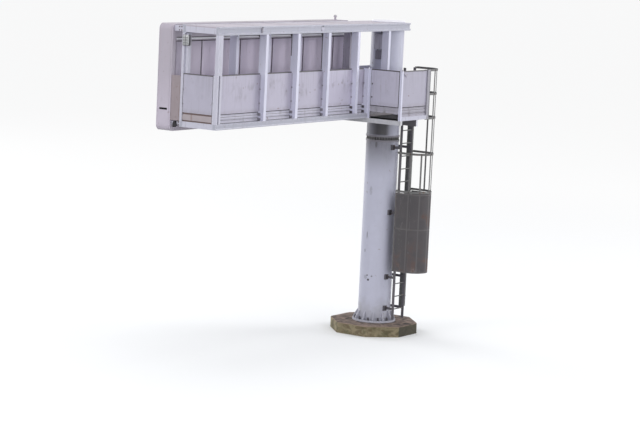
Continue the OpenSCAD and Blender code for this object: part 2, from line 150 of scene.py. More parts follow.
def linear(colour):  # from a colour as it shows on a screen, 0 to 255
    channel = lambda v: v / 12.92 if v <= 0.04045 else ((v + 0.055) / 1.055) ** 2.4
    return tuple(channel(v / 255) for v in colour)


# finishes
finishes = {}
paintLook = {
    "dirt": (104, 97, 98), "rust": (112, 74, 52), "broad": 0.10, "cloud": 0.10, "streak": 0.35,
    "streakWidth": 24.0, "topDirt": 0.28, "rustAmount": 0.5, "roughness": 0.50,
    "drips": 0.24, "smears": 0.40, "panelTop": 6.256, "panelHeight": 0.826,
}


def coat(name, colour, more=None, **changes):  # weathered paint, with more marks on some of it
    look = {**paintLook, **changes}
    finish = Finish(name)
    broad = finish.speckle(0.9, 3)
    finish.cloud = cloud = finish.speckle(6.0, 6, distortion=0.6)
    runs = finish.speckle(1.0, 4, (look["streakWidth"], look["streakWidth"], 1.3))
    tone = finish.node("ShaderNodeAttribute", {"attribute_name": "tone"}, out="Fac")
    shade = 1.0 + (broad - 0.5) * look["broad"] + (cloud - 0.5) * look["cloud"] + tone
    base = finish.brighten(linear(colour), shade)
    streaks = finish.ease(runs, 0.52, 0.78) * finish.ease(cloud, 0.35, 0.62)
    stained = finish.mix(streaks * look["streak"], base, look["dirt"])
    settled = finish.ease(finish.facing(2), 0.5, 0.9) * finish.ease(broad * 0.6 + cloud * 0.4, 0.32, 0.72)
    dusty = finish.mix(settled * look["topDirt"], stained, look["dirt"])
    chips = finish.ease(finish.speckle(11.0, 8, distortion=0.4, shift=3.1), 0.685, 0.72)
    finish.colour = finish.mix(chips * look["rustAmount"], dusty, look["rust"])
    finish.set("Base Color", more(finish, look) if more else finish.colour)
    finish.set("Roughness", look["roughness"] + streaks * 0.15 + chips * 0.2)
    finish.bump(finish.speckle(240, 2) + chips * -1.5, 0.12, 0.002)
    return finish.material


def wornEdge(finish, look):  # thinner and more chipped
    wear = finish.ease(finish.speckle(16, 6, distortion=1.2, shift=9.4), 0.53, 0.66)
    return finish.mix(wear * 0.55, finish.colour, (122, 112, 108))


def panelGrime(finish, look):
    # runs of dirt from the top edge, and rubbed smears across the middle
    drop = (look["panelTop"] - finish.axis(2)) * (1 / look["panelHeight"])
    runs = finish.ease(finish.speckle(1.0, 4, (13, 13, 0.7), shift=1.7), 0.45, 0.72)
    drips = runs * finish.ease(drop, 0.85, 0.0)
    rubbed = finish.ease(finish.speckle(2.6, 4, (1, 1, 0.8), distortion=0.8, shift=5.0), 0.46, 0.64)
    broken = finish.ease(finish.speckle(8.0, 2, (1, 1, 0.45), distortion=0.7, shift=8.0), 0.36, 0.66)
    band = finish.ease(drop, 0.06, 0.26) * finish.ease(drop, 0.78, 0.5)
    foot = finish.ease(drop, 0.84, 1.0) * finish.ease(finish.cloud, 0.3, 0.6)
    first = finish.mix(drips * look["drips"], finish.colour, (128, 122, 134))
    second = finish.mix(rubbed * broken * band * look["smears"], first, (112, 105, 116))
    return finish.mix(foot * 0.25, second, (121, 112, 112))


def beamShadeBehindLanding(finish, look):  # painted shade: the lower beam is darkened where it runs behind the landing
    behind = finish.ease(finish.axis(0), -1.44, -1.40) * finish.ease(finish.axis(0), -0.34, -0.38)
    low = finish.ease(finish.axis(2), 5.32, 5.28) * finish.ease(finish.axis(1), 0.0, -0.1)
    return finish.mix(behind * low * 0.88, finish.colour, (150, 142, 146))


def caseDarkerUpward(finish, look):  # darker towards the top, fading down the end caps
    return finish.mix(finish.ease(finish.axis(2), 5.2, 6.6, 0.02, 0.29), finish.colour, look["dirt"])


columnMarks = (  # where, how far it reaches to the side and up, how strong, and how broken up
    ((-0.380, -0.029, 1.24), (0.036, 0.032), 1.0, 0.0), ((-0.381, 0.0, 1.345), (0.028, 0.022), 0.8, 0.1),
    ((-0.364, -0.113, 1.33), (0.026, 0.022), 0.7, 0.1), ((-0.377, 0.056, 2.29), (0.014, 0.11), 0.75, 0.3),
    ((-0.367, 0.1025, 1.92), (0.020, 0.05), 0.6, 0.3), ((-0.378, 0.046, 1.30), (0.06, 0.06), 0.3, 0.42),
    ((-0.381, 0.006, 3.34), (0.05, 0.13), 0.30, 0.42), ((-0.375, -0.068, 4.43), (0.030, 0.10), 0.55, 0.3),
)


def columnStainsAndShade(finish, look):
    # scuffs, and soil splashed up at the foot
    colour = finish.colour
    for spot, reach, strength, broken in columnMarks:
        rough = finish.ease(finish.speckle(42, 3, shift=spot[2]), broken - 0.06, broken + 0.08)
        mark = finish.nearTo(spot, (0.06, *reach)) * rough * strength
        colour = finish.mix(mark, colour, (62, 58, 62))
    height = finish.axis(2)
    splash = finish.ease(height + finish.speckle(4, 5) * 0.9, 1.35, 0.75)
    colour = finish.mix(splash * 0.35, colour, (120, 116, 102))
    rain = finish.ease(height, 4.25, 4.49) * finish.ease(height, 4.6, 4.55)
    runs = finish.ease(finish.speckle(1, 3, (12, 12, 0.6), shift=2.2), 0.45, 0.62)
    colour = finish.mix(rain * runs * 0.3, colour, (110, 104, 104))
    # a broad darkening that fades down the tube from the joint: partly a rain stain, partly painted shade from the
    # walkway
    across = finish.axis(0) * 0.559 - finish.axis(1) * 0.829
    level = finish.ease(height, 3.6, 4.55) * finish.ease(height, 4.6, 4.55)
    stain = level * finish.ease(across, 0.34, 0.12, 0.35, 1.0)
    colour = finish.mix(stain * (0.64 + (finish.cloud - 0.5) * 0.25), colour, (70, 67, 72))
    # painted shadow of the landing and the walkway over the joint, with some soot, on the side turned towards -x
    # and -y
    under = finish.ease(height, 4.61, 4.67) * finish.ease(height, 5.24, 5.18)
    sheltered = finish.ease(finish.axis(0) * 0.829 + finish.axis(1) * 0.559, 0.10, 0.0)
    edge = finish.ease(across, 0.18, 0.04) * 0.6 + finish.ease(across, 0.38, 0.06) * 0.4
    patch = edge * sheltered * finish.ease(across, -0.30, -0.14, 0.72, 1.0)
    return finish.mix(under * patch * 0.97, colour, (54, 52, 57))


paints = {  # each a colour as it shows on a screen, and what differs from paintLook
    "framePaint": dict(colour=(196, 195, 210)),
    # the bevelled edges: chipped wear, and lighter than framePaint as a painted highlight along the edges
    "edgeWearAndHighlight": dict(colour=(214, 213, 226), more=wornEdge),
    "roofPaint": dict(colour=(182, 175, 187), topDirt=0.4, streak=0.25),
    # a darker copy of framePaint: painted shade for the beams' recessed faces, over the lips too
    "beamShadedPaint": dict(colour=(175, 176, 190), streak=0.2, more=beamShadeBehindLanding),
    # a dark paint for the last far upright: painted shade from the case's shelter, with sooty streaks
    "sootAndShadePaint": dict(colour=(168, 164, 178), dirt=(64, 61, 68), streak=0.8, streakWidth=9.0, cloud=0.3),
    # whiter than whiteTrim: the white of the drip rail and the cap's rim, with a painted highlight on them
    "trimWithHighlight": dict(colour=(238, 238, 243), streak=0.1, rustAmount=0.1),
    "whiteTrim": dict(colour=(222, 221, 230), streak=0.2),
    "landingTrim": dict(colour=(193, 193, 209), streak=0.3),
    "landingKickPaint": dict(colour=(166, 163, 176), streak=0.5, streakWidth=7.0, cloud=0.24),
    "nearPanelPaint": dict(colour=(185, 181, 199), streak=0.2, streakWidth=12.0, more=panelGrime),
    "endPanelPaint": dict(colour=(178, 175, 192), streak=0.15, smears=0.15, more=panelGrime),
    "landingPanelPaint": dict(colour=(206, 203, 220), dirt=(122, 116, 104), smears=0.2, more=panelGrime),
    "cleanPanelPaint": dict(colour=(170, 167, 184), streak=0.15, smears=0.05, more=panelGrime),
    "kickPaint": dict(colour=(195, 193, 208), streak=0.5, streakWidth=7.0, cloud=0.24),
    "shadedKickPaint": dict(colour=(181, 178, 189), dirt=(104, 100, 92), streak=0.7, streakWidth=9.0,
                            cloud=0.25),
    "stainedPaint": dict(colour=(168, 158, 163), dirt=(122, 96, 84), streak=0.7, streakWidth=14.0,
                         cloud=0.22),
    "gapPaint": dict(colour=(150, 138, 143), dirt=(118, 96, 90), streak=0.8, streakWidth=16.0, cloud=0.22),
    "casePaint": dict(colour=(196, 188, 203), topDirt=0.7, streak=0.18, rustAmount=0.25, roughness=0.42,
                      more=caseDarkerUpward),
    "doorPaint": dict(colour=(204, 195, 213), streak=0.28, streakWidth=8.0, rustAmount=0.2),
    # a lighter copy of framePaint: painted light on the uprights and landing posts, whose sides lie in shade
    "uprightPaintedLight": dict(colour=(220, 220, 239), streak=0.22, rustAmount=0.4),
    "columnPaint": dict(colour=(193, 194, 212), streak=0.14, streakWidth=10.0, rustAmount=0.35,
                        roughness=0.42, more=columnStainsAndShade),
    "darkPaint": dict(colour=(92, 89, 95), streak=0.3, rustAmount=0.8),
    "fixingPaint": dict(colour=(138, 135, 146), streak=0.3, rustAmount=0.9),
    "boxPaint": dict(colour=(150, 148, 158), streak=0.4, cloud=0.2),
    "shelteredPaint": dict(colour=(204, 202, 214), streak=0.5, cloud=0.2),
    "lugPaint": dict(colour=(80, 77, 84), streak=0.3, rustAmount=0.9),
    "bandPaint": dict(colour=(132, 129, 139), streak=0.5, rustAmount=0.8),
    "blackGap": dict(colour=(34, 32, 36), streak=0.1, rustAmount=0.1, roughness=0.8),
    "outriggerPaint": dict(colour=(208, 208, 214), streak=0.4, cloud=0.2),
    "rustyPaint": dict(colour=(96, 78, 76), dirt=(70, 52, 46), streak=0.6, rustAmount=0.9, cloud=0.3),
    "guardFramePaint": dict(colour=(90, 87, 89), dirt=(96, 74, 64), streak=0.5, rustAmount=0.9),
    "ductPaint": dict(colour=(86, 87, 86), streak=0.4, rustAmount=0.4),
}


def dullSteel(finish):
    spangle = finish.node("ShaderNodeTexVoronoi", {}, {"Vector": finish.place, "Scale": 90.0})
    cloud = finish.speckle(7, 6, distortion=0.5)
    rust = finish.ease(finish.speckle(14, 7, shift=4.0), 0.62, 0.72)
    base = finish.mix(cloud, (98, 98, 99), (116, 115, 115))
    finish.set("Base Color", finish.mix(rust * 0.7, base, (112, 84, 66)))
    finish.set("Roughness", 0.45 + cloud * 0.25)
    finish.set("Metallic", 0.35 - rust * 0.3)
    finish.bump(spangle + cloud, 0.08, 0.001)


def meshSteel(finish):
    cloud = finish.speckle(3.0, 6, distortion=0.8)
    base = finish.mix(finish.ease(cloud, 0.3, 0.7), (82, 79, 82), (92, 88, 91))
    low = finish.ease(finish.axis(2), 2.4, 1.5) * finish.ease(cloud, 0.45, 0.62)
    rust = finish.ease(cloud, 0.6, 0.72)
    finish.set("Base Color", finish.mix(low * 0.5 + rust * 0.4, base, (112, 80, 66)))
    finish.set("Roughness", 0.6 + cloud * 0.25)
    finish.bump(finish.speckle(150, 3), 0.2, 0.001)


def stainedConcrete(finish):
    cloud = finish.speckle(3.2, 7, distortion=0.4)
    grit = finish.speckle(90, 4)
    patches = finish.speckle(6.0, 6, (1, 1, 1.7), distortion=0.9, shift=2.0)
    base = finish.mix(finish.ease(cloud, 0.3, 0.7), (126, 116, 91), (153, 142, 116))
    stained = finish.mix(finish.ease(patches, 0.44, 0.62) * 0.55, base, (82, 66, 50))
    moss = finish.ease(finish.speckle(5, 6, shift=7), 0.50, 0.64)
    mossy = finish.mix(moss * 0.5, stained, (76, 78, 52))
    # darker on the faces towards -x
    darkSide = finish.ease(finish.facing(0) + (cloud - 0.5) * 0.3, -0.5, -0.15)
    darkened = finish.mix(darkSide * 0.88, mossy, (52, 50, 42))
    # soil lies on the top, and the rim is rubbed bare
    soil = finish.mix(finish.ease(patches, 0.4, 0.7), (36, 30, 28), (48, 41, 38))
    top = finish.mix(finish.ease(finish.facing(2), 0.6, 0.95) * 0.97, darkened, soil)
    height = finish.axis(2)
    rim = finish.ease(height, 0.222, 0.240) * finish.ease(height, 0.2505, 0.2475)
    finish.set("Base Color", finish.mix(rim * finish.ease(patches, 0.3, 0.6) * 0.65, top, (160, 138, 126)))
    finish.set("Roughness", 0.82 + grit * 0.15)
    pits = finish.ease(finish.speckle(48, 3, shift=1.0), 0.60, 0.72)
    finish.bump(grit * 0.6 + cloud - pits * 0.8, 0.6, 0.006)


def displayBoard(finish):
    # rows of small dots on a dark board
    dot = 1.0
    for value in (finish.axis(0), finish.axis(2)):
        cell = finish.node("ShaderNodeMath", {"operation": "FRACT"}, {0: value * 25.0})
        dot = finish.ease(cell, 0.18, 0.34) * finish.ease(cell, 0.82, 0.66) * dot
    dust = finish.speckle(4, 6)
    runs = finish.speckle(1, 4, (20, 20, 1.0))
    base = finish.mix(dot, (20, 20, 22), (46, 45, 44))
    grime = finish.ease(dust, 0.4, 0.8) * 0.25 + finish.ease(runs, 0.55, 0.75) * 0.15
    finish.set("Base Color", finish.mix(grime, base, (92, 88, 84)))
    finish.set("Roughness", 0.5 - dot * 0.25 + dust * 0.1)
    finish.bump(dot, 0.5, 0.003)


def lampGlass(finish):
    grime = finish.speckle(30, 5)
    finish.set("Base Color", finish.mix(finish.ease(grime, 0.4, 0.7), (176, 178, 180), (142, 142, 145)))
    finish.set("Roughness", 0.15 + grime * 0.3)
    finish.set("Coat Weight", 0.4)
    ribs = finish.node("ShaderNodeTexWave", {}, {"Vector": finish.place, "Scale": 40.0})
    finish.bump(ribs, 0.15, 0.002)


def boltSteel(finish):
    grain = finish.speckle(60, 5)
    rust = finish.ease(finish.speckle(18, 5, shift=2.5), 0.4, 0.62)
    finish.set("Base Color", finish.mix(rust, (92, 90, 92), (96, 70, 54)))
    finish.set("Roughness", 0.5 + grain * 0.3)
    finish.bump(grain, 0.3, 0.001)


for name, look in paints.items():
    finishes[name] = coat(name, **look)
for fill, roughness, metallic in ((dullSteel, 0.55, 0.75), (meshSteel, 0.7, 0.2), (stainedConcrete, 0.9, 0.0),
                                  (displayBoard, 0.42, 0.0), (lampGlass, 0.18, 0.0), (boltSteel, 0.6, 0.5)):
    finish = Finish(fill.__name__, roughness, metallic)
    fill(finish)
    finishes[fill.__name__] = finish.material
print("stage: finishes made")


# making shapes
def circle(radius, sides):
    turns = [2 * math.pi * i / sides for i in range(sides)]
    return [(radius * math.cos(turn), radius * math.sin(turn)) for turn in turns]


def outward(degrees):
    return Vector((math.cos(math.radians(degrees)), math.sin(math.radians(degrees)), 0))


class Shape:  # the solids of one piece
    def __init__(self):
        self.bm = bmesh.new()
        self.toneLayer = self.bm.faces.layers.float.new("tone")

    def loft(self, rings, paint=0, tone=0.0, loop=False):
        rows = [[self.bm.verts.new(point) for point in ring] for ring in rings]
        made = []
        for low, high in list(zip(rows, rows[1:])) + ([(rows[-1], rows[0])] if loop else []):
            for i in range(len(low)):
                j = (i + 1) % len(low)
                made.append(self.bm.faces.new((low[i], low[j], high[j], high[i])))
        if not loop:
            made += [self.bm.faces.new(rows[0]), self.bm.faces.new(rows[-1])]
        for face in made:
            face.material_index = paint
            face[self.toneLayer] = tone

    def prism(self, outline, axis, start, end, paint=0, tone=0.0):
        at = "xyz".index(axis)
        self.loft([[(*spot[:at], t, *spot[at:]) for spot in outline] for t in (start, end)], paint, tone)

    def block(self, x0, x1, y0, y1, z0, z1, paint=0, tone=0.0):
        self.prism(((x0, y0), (x1, y0), (x1, y1), (x0, y1)), "z", z0, z1, paint, tone)

    def lathe(self, profile, centre=(0, 0), sides=96, paint=0, loop=False):
        rings = []
        for radius, z in profile:
            rings.append([(centre[0] + x, centre[1] + y, z) for x, y in circle(radius, sides)])
        self.loft(rings, paint, loop=loop)

    def rod(self, start, end, radius, sides=12, paint=0):
        start, end = Vector(start), Vector(end)
        turn = Vector((0, 0, 1)).rotation_difference(end - start).to_matrix()
        ring = [turn @ Vector((x, y, 0)) for x, y in circle(radius, sides)]
        self.loft([[spot + corner for corner in ring] for spot in (start, end)], paint)

    def bolt(self, spot, out, size=0.024, paint=0, washer=0.003):
        # a hexagon head on its washer, its face towards out
        spot, out = Vector(spot), Vector(out).normalized()
        self.rod(spot, spot + out * washer, size, 12, paint)
        self.rod(spot + out * washer, spot + out * (washer + size * 0.55), size * 0.577, 6, paint)

    def bar(self, start, end, width, thickness, across, paint=0):
        # a flat bar from start to end, its width along across
        start, end, across = Vector(start), Vector(end), Vector(across).normalized()
        other = (end - start).cross(across).normalized()
        corners = [across * (a * width / 2) + other * (b * thickness / 2)
                   for a, b in ((-1, -1), (1, -1), (1, 1), (-1, 1))]
        self.loft([[spot + corner for corner in corners] for spot in (start, end)], paint)


def build(name, shape, paints=()):  # an object from a shape
    bmesh.ops.recalc_face_normals(shape.bm, faces=shape.bm.faces)
    mesh = bpy.data.meshes.new(name)
    shape.bm.to_mesh(mesh)
    shape.bm.free()
    for paint in paints:
        mesh.materials.append(finishes[paint])
    made = bpy.data.objects.new(name, mesh)
    bpy.context.scene.collection.objects.link(made)
    return made


def piece(name, shape, paints, stands=None, edge=0.0, smooth=32):
    made = build(name, shape, paints)
    made.data.shade_smooth()
    made.data.set_sharp_from_angle(angle=math.radians(smooth))
    if edge:
        bevel = made.modifiers.new("edges", "BEVEL")
        bevel.width = edge
        bevel.segments = 2
        bevel.limit_method = "ANGLE"
        bevel.angle_limit = math.radians(40)
        bevel.harden_normals = True
        # the bevels take the edge paint, which is chipped wear and a painted highlight
        bevel.material = paints.index("edgeWearAndHighlight") if "edgeWearAndHighlight" in paints else -1
    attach(made, "root")
    if stands:
        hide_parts(stands)
    return made


keptNodes = {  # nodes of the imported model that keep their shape, and the finish of each
    "base_gussets": "columnPaint", "column_saddles": "framePaint", "top_cross_beams": "framePaint",
    "bottom_cross_beams": "framePaint", "roof_cover": "roofPaint", "far_guard": "framePaint",
    "ladder_rungs": "dullSteel", "cage_hoops": "dullSteel", "cage_straps": "dullSteel",
    "ladder_stiles": "darkPaint", "ladder_brackets": "lugPaint", "case_top_and_bottom": "casePaint",
    # the drip rail takes the whiter trim, a painted highlight
    "drip_rail": "trimWithHighlight", "case_hangers": "framePaint", "gap_panel": "gapPaint",
    "column_box": "boxPaint",
}
for node, paint in keptNodes.items():
    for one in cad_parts[node].material_slots:
        one.material = finishes[paint]
print("stage: packed nodes dressed")


# foundation
plinthLook = {"flat": 0.96085, "height": 0.25, "perSide": 18, "wear": 0.006, "edge": 0.011}


def makePlinth():
    flat, top, perSide, wear, edge = plinthLook.values()
    shape = Shape()
    eighth = math.pi / 4
    profile = [(1.0, z) for z in (0.0, 0.06, 0.12, 0.18, top - edge)]
    profile += [(size, top) for size in (1.0 - edge, 0.96, 0.9, 0.8, 0.7, 0.55)]
    rings = []
    for size, z in profile:
        ring = []
        for i in range(8 * perSide):
            side = (i % perSide) / perSide - 0.5
            middle = (i // perSide) * eighth
            along = flat * math.tan(eighth / 2) * 2 * side
            x = flat * math.cos(middle) - along * math.sin(middle)
            y = flat * math.sin(middle) + along * math.cos(middle)
            spot = Vector((x * size, y * size, z))
            rough = 0.5 + 0.5 * noise.noise(spot * 7) + 0.4 * noise.noise(spot * 23)
            corner = max(0.0, abs(side) * 2 - 0.86) / 0.14
            pull = wear * (0.3 * rough + corner * (0.4 + rough) * (1.0 if size > 0.97 else 0.0))
            inward = Vector((x, y, 0)).normalized()
            spot -= inward * max(0.0, pull) * (1.0 if z > 0 else 0.4)
            if z == top:
                spot.z -= max(0.0, rough) * 0.003
            ring.append(spot)
        rings.append(ring)
    shape.loft(rings)
    piece("plinthBlock", shape, ["stainedConcrete"], "plinth", smooth=40)


baseLook = {"bore": 0.30, "edge": 0.005, "boltRing": 0.45, "washer": 0.030, "nut": 0.046,
            "stud": 0.015, "studTop": 0.075}


def makeBase():
    bore, edge, boltRing, washer, nut, stud, studTop = baseLook.values()
    shape, bolts = Shape(), Shape()
    low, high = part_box("base_plate")
    rim, top = (high.x - low.x) / 2, high.z
    shape.lathe([(bore, low.z), (rim, low.z), (rim, top - edge), (rim - edge, top), (bore, top)], loop=True)
    piece("basePlateRound", shape, ["columnPaint"], stands="base_plate")
    for degrees in range(15, 360, 30):
        x, y, _ = outward(degrees) * boltRing
        for foot, tall, radius, sides in ((0.0, 0.005, washer, 20), (0.005, 0.024, nut * 0.577, 6),
                                          (0.031, 0.024, nut * 0.577, 6), (0.0, studTop, stud, 12)):
            bolts.rod((x, y, top + foot), (x, y, top + foot + tall), radius, sides)
    piece("anchorNuts", bolts, ["lugPaint"], edge=0.001)


makePlinth()
makeBase()
print("stage: foundation made")


# column
columnLook = {"radius": 0.381, "sides": 128, "rows": 12, "bore": 0.30, "plate": 0.04, "soft": 0.004,
              "sleeve": 0.336, "studs": 36, "studRing": 0.366, "stud": 0.010, "nut": 0.0205, "nutTall": 0.020}


def makeColumn():
    look, bore, soft = columnLook, columnLook["bore"], columnLook["soft"]
    for name, node in (("lowerTube", "lower_column"), ("upperTube", "upper_column")):
        low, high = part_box(node)
        shape = Shape()
        rise = (high.z - low.z) / look["rows"]
        shape.lathe([(look["radius"], low.z + rise * i) for i in range(look["rows"] + 1)], sides=look["sides"])
        piece(name, shape, ["columnPaint"], stands=node)
    flanges, sleeve, studs, cap = (Shape() for _ in range(4))
    low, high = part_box("joint_flanges")
    rim = (high.x - low.x) / 2
    z0, z1 = low.z + look["plate"], high.z - look["plate"]
    for a, b in ((low.z, z0), (z1, high.z)):
        flanges.lathe([(bore, a), (rim - soft, a), (rim, a + soft), (rim, b - soft), (rim - soft, b), (bore, b)],
                      sides=look["sides"], loop=True)
    piece("boltedFlanges", flanges, ["bandPaint"], stands="joint_flanges")
    # the sleeve in the recess between the flanges is painted dark, painted shade in that recess
    sleeve.lathe([(look["sleeve"], z0), (look["sleeve"], z1)])
    piece("jointSleeve", sleeve, ["lugPaint"], "joint_sleeve")
    for x, y in circle(look["studRing"], look["studs"]):
        studs.rod((x, y, z0), (x, y, z1), look["stud"], 10)
        for a, b in ((z0, z0 + look["nutTall"]), (z1 - look["nutTall"], z1)):
            studs.rod((x, y, a), (x, y, b), look["nut"], 6)
    piece("jointStuds", studs, ["dullSteel"])
    low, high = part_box("column_cap")
    rim, top = (high.x - low.x) / 2, high.z
    cap.lathe([(rim - 0.010, low.z), (rim - 0.010, top - 0.002), (bore, top), (0.05, top)])
    # the rim takes the whiter trim, a painted highlight
    cap.lathe([(rim - 0.016, low.z), (rim, low.z), (rim, top - soft), (rim - soft, top - 0.001),
               (rim - 0.016, top - 0.001)], paint=1, loop=True)
    piece("columnCapPlate", cap, ["whiteTrim", "trimWithHighlight"], stands="column_cap")


makeColumn()
print("stage: column made")


# walkway
walk = {"left": -7.175, "outer": 0.481, "inner": 0.391, "back": 0.301, "beamTop": 5.25, "kickTop": 5.43,
        "panelTop": 6.256, "roof": 7.087, "posts": (-5.461, -4.283, -3.105, -1.927, -0.662),
        "lastFarPost": -1.062, "shortPost": (-1.485, -1.440), "halfPost": 0.045, "wall": 0.008, "lip": 0.024,
        "boltLevels": (5.92, 5.62), "clipLevels": (5.385, 5.280)}
left, outer, inner, back, beamTop, kickTop, panelTop, roof = list(walk.values())[:8]
towardsEnd = (-1, 0, 0)
beamLook = {"Top": (0.036, 0.024), "Bottom": (0.022, 0.006), "splices": (-5.64, -3.37), "gap": 0.0025,
            "tones": (-0.03, 0.05, 0.02), "clips": ((0.045, 0.125), (0.055, 0.030))}


def makeBeams():
    gap = beamLook["gap"]
    for side, name in ((-1, "near"), (1, "far")):
        face, rear = side * outer, side * inner
        for level in ("Top", "Bottom"):
            node = f"{name}_{level.lower()}_beam"
            low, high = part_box(node)
            lip, recess = beamLook[level]
            web = face - side * recess
            outline = ((rear, low.z), (face, low.z), (face, low.z + lip), (web, low.z + lip + 0.004),
                       (web, high.z - lip - 0.004), (face, high.z - lip), (face, high.z), (rear, high.z))
            shape = Shape()
            cuts = [low.x, *(beamLook["splices"] if level == "Top" else ()), high.x]
            for i, (x0, x1) in enumerate(zip(cuts, cuts[1:])):
                x0 += gap if i else 0
                x1 -= gap if i < len(cuts) - 2 else 0
                shape.prism(outline, "x", x0, x1, tone=beamLook["tones"][i])
            piece(name + level + "Channel", shape, ["beamShadedPaint", "edgeWearAndHighlight"], stands=node, edge=0.003)
        if side < 0:
            makeSplices(face, face + beamLook["Top"][1])


def makeSplices(face, web):
    # a plate over the joint, with a dark clip hooked over the upper lip
    plates = Shape()
    low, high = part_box("near_top_beam")
    top = high.z - 0.012
    for x, (width, drop) in zip(beamLook["splices"], beamLook["clips"]):
        plates.block(x - 0.055, x + 0.055, web - 0.006, web, low.z + 0.042, high.z - 0.042)
        plates.block(x - width, x, face, web, top - drop, top, 1)
        plates.prism(((face, high.z - 0.036), (face, top), (web, top)), "x", x - width, x, 1)
        for dx in (-0.036, 0.036):
            plates.bolt((x + dx, web - 0.006, low.z + 0.062), (0, -1, 0), 0.014)
    piece("beamSplices", plates, ["framePaint", "fixingPaint"])


def channel(shape, x0, x1, side, z1, tone=0.0, paint=0):
    # a folded channel, its web on the left and its mouth to the right
    t, lip = walk["wall"], walk["lip"]
    outline = ((x0, outer), (x1, outer), (x1, outer - lip), (x1 - t, outer - lip), (x1 - t, outer - t),
               (x0 + t, outer - t), (x0 + t, back + t), (x1 - t, back + t), (x1 - t, back + lip),
               (x1, back + lip), (x1, back), (x0, back))
    shape.prism([(x, side * y) for x, y in outline], "z", beamTop, z1, paint, tone)


def makeUprights():
    shape, fixings, ends, clips, knees = (Shape() for _ in range(5))
    posts, half, plate = walk["posts"], walk["halfPost"], walk["wall"]
    for side, places in ((-1, posts), (1, (*posts[:4], walk["lastFarPost"]))):
        for i, x in enumerate(places):
            tone = 0.02 * math.sin(3.1 * i + side)
            paint = 2 if side > 0 and i == 4 else 0  # that one stands in the case's shelter; its dark paint is painted shade there, with sooty streaks
            channel(shape, x - half, x + half, side, roof, tone, paint)
            for z in (beamTop + 0.045, roof - 0.05):
                for inset in (0.05, 0.125):
                    ends.bolt((x - half, side * (outer - inset), z), towardsEnd, 0.019)
            # a foot plate welded across the mouth, and a dark knee bracket under the roof beam
            shape.block(x - 0.037, x + 0.043, side * (outer - plate), side * (back + plate),
                        beamTop, beamTop + plate)
            post, reach = side * back, side * (back - 0.055)
            knees.prism(((reach, roof), (post, roof), (post, roof - 0.10)), "x", x - 0.04, x - 0.032)
            knees.block(x - 0.04, x + 0.035, reach, post, roof - plate, roof)
    channel(shape, *walk["shortPost"], -1, panelTop)
    for i, x in enumerate([post - half for post in posts[:4]] + [walk["shortPost"][0]]):
        paint = 1 if i < 3 else 0
        for z in walk["boltLevels"]:
            fixings.bolt((x - 0.005, -0.366, z), towardsEnd, 0.019)
        for z in walk["clipLevels"]:
            clips.block(x - 0.017, x, -0.405, -0.345, z - 0.028, z + 0.028, paint)
            if i < 4:
                clips.bolt((x - 0.017, -0.375, z), towardsEnd, 0.017, paint)
    for x, low in ((posts[1], 6.60), (posts[2], panelTop + 0.01)):
        clips.block(x - 0.049, x - 0.0445, -0.322, -back, low, roof - 0.01)
    piece("toeBoardClips", clips, ["lugPaint", "fixingPaint"], edge=0.002)
    piece("uprightChannels", shape, ["uprightPaintedLight", "edgeWearAndHighlight", "sootAndShadePaint"], stands="uprights", edge=0.002)
    piece("uprightFixings", fixings, ["fixingPaint"])
    piece("uprightEndBolts", ends, ["uprightPaintedLight"])
    piece("kneeBrackets", knees, ["darkPaint"])


cornerLook = {"right": -7.027, "depth": 0.09, "leaf": 0.04, "slot": (-7.132, -7.092), "slotDepth": 0.045,
              "leafEnd": -0.365, "farLeaf": 0.351, "farFlange": 0.421}


def makeCornerPosts():
    # the near post has a dark slot down its outer face, below the rail
    right, depth, leaf, (slot0, slot1), slotDepth, leafEnd, farLeaf, farFlange = cornerLook.values()
    shape, dark, fixings = Shape(), Shape(), Shape()
    near, web = -outer, left + leaf
    floor = near + slotDepth
    shape.prism(((left, near), (slot0, near), (slot0, floor), (slot1, floor), (slot1, near), (right, near),
                 (right, near + depth), (left, near + depth)), "z", beamTop, panelTop)
    shape.block(left, right, near, near + depth, panelTop, roof)
    shape.block(left, web, near + depth, leafEnd, beamTop, panelTop)
    shape.block(web, right, near + depth, -back, beamTop, panelTop)
    # the far post is an angle with its flange at the end of the walkway
    shape.block(web, right, farLeaf, outer, beamTop, roof)
    shape.block(left, web, farFlange, outer, beamTop, roof)
    piece("cornerPosts", shape, ["framePaint", "edgeWearAndHighlight"], stands="corner_posts", edge=0.003)
    dark.block(slot0 - 0.001, slot1 + 0.001, floor - 0.004, floor - 0.001, beamTop, panelTop)
    piece("postSlot", dark, ["blackGap"])
    for z in (5.28, 5.40, 5.62, 5.92):
        fixings.bolt((left, 0.402, z), towardsEnd, 0.017)
    piece("postFixings", fixings, ["fixingPaint"])


trayLook = {"sheet": 0.005, "frame": 0.030, "depth": 0.040, "cap": 0.024, "capOver": 0.005, "gap": 0.008}


def tray(sheet, caps, alongY, start, end, front, tone, capOver=0.005, flange=0.0):
    # a sheet with a frame behind it and a dark capping, and return flanges in front where it has them
    thick, rim, depth, cap, over, gap = trayLook.values()
    bottom, top = kickTop + gap, panelTop - cap

    def put(shape, a, b, c, d, z0, z1, shade=0.0):  # a to b along the panel, c to d behind its face
        spans = ((front + c, front + d), (a, b)) if alongY else ((a, b), (front + c, front + d))
        shape.block(*spans[0], *spans[1], z0, z1, 0, shade)

    put(sheet, start, end, 0, thick, bottom, top, tone)
    middle = (start + end) / 2
    bars = [(start, start + rim), (end - rim, end)] + ([] if alongY else [(middle - 0.015, middle + 0.015)])
    for a, b in bars:
        put(sheet, a, b, thick, depth, bottom, top, tone)
    for z0, z1 in ((bottom, bottom + rim), (top - rim, top)):
        put(sheet, start + rim, end - rim, thick, depth - 0.002, z0, z1, tone)
    put(caps, start, end, -capOver, depth + over, top, panelTop)
    if flange:
        for a, b in ((start, start + thick), (end - thick, end)):
            put(sheet, a, b, -flange, 0, bottom + 0.02, top - 0.004, tone)


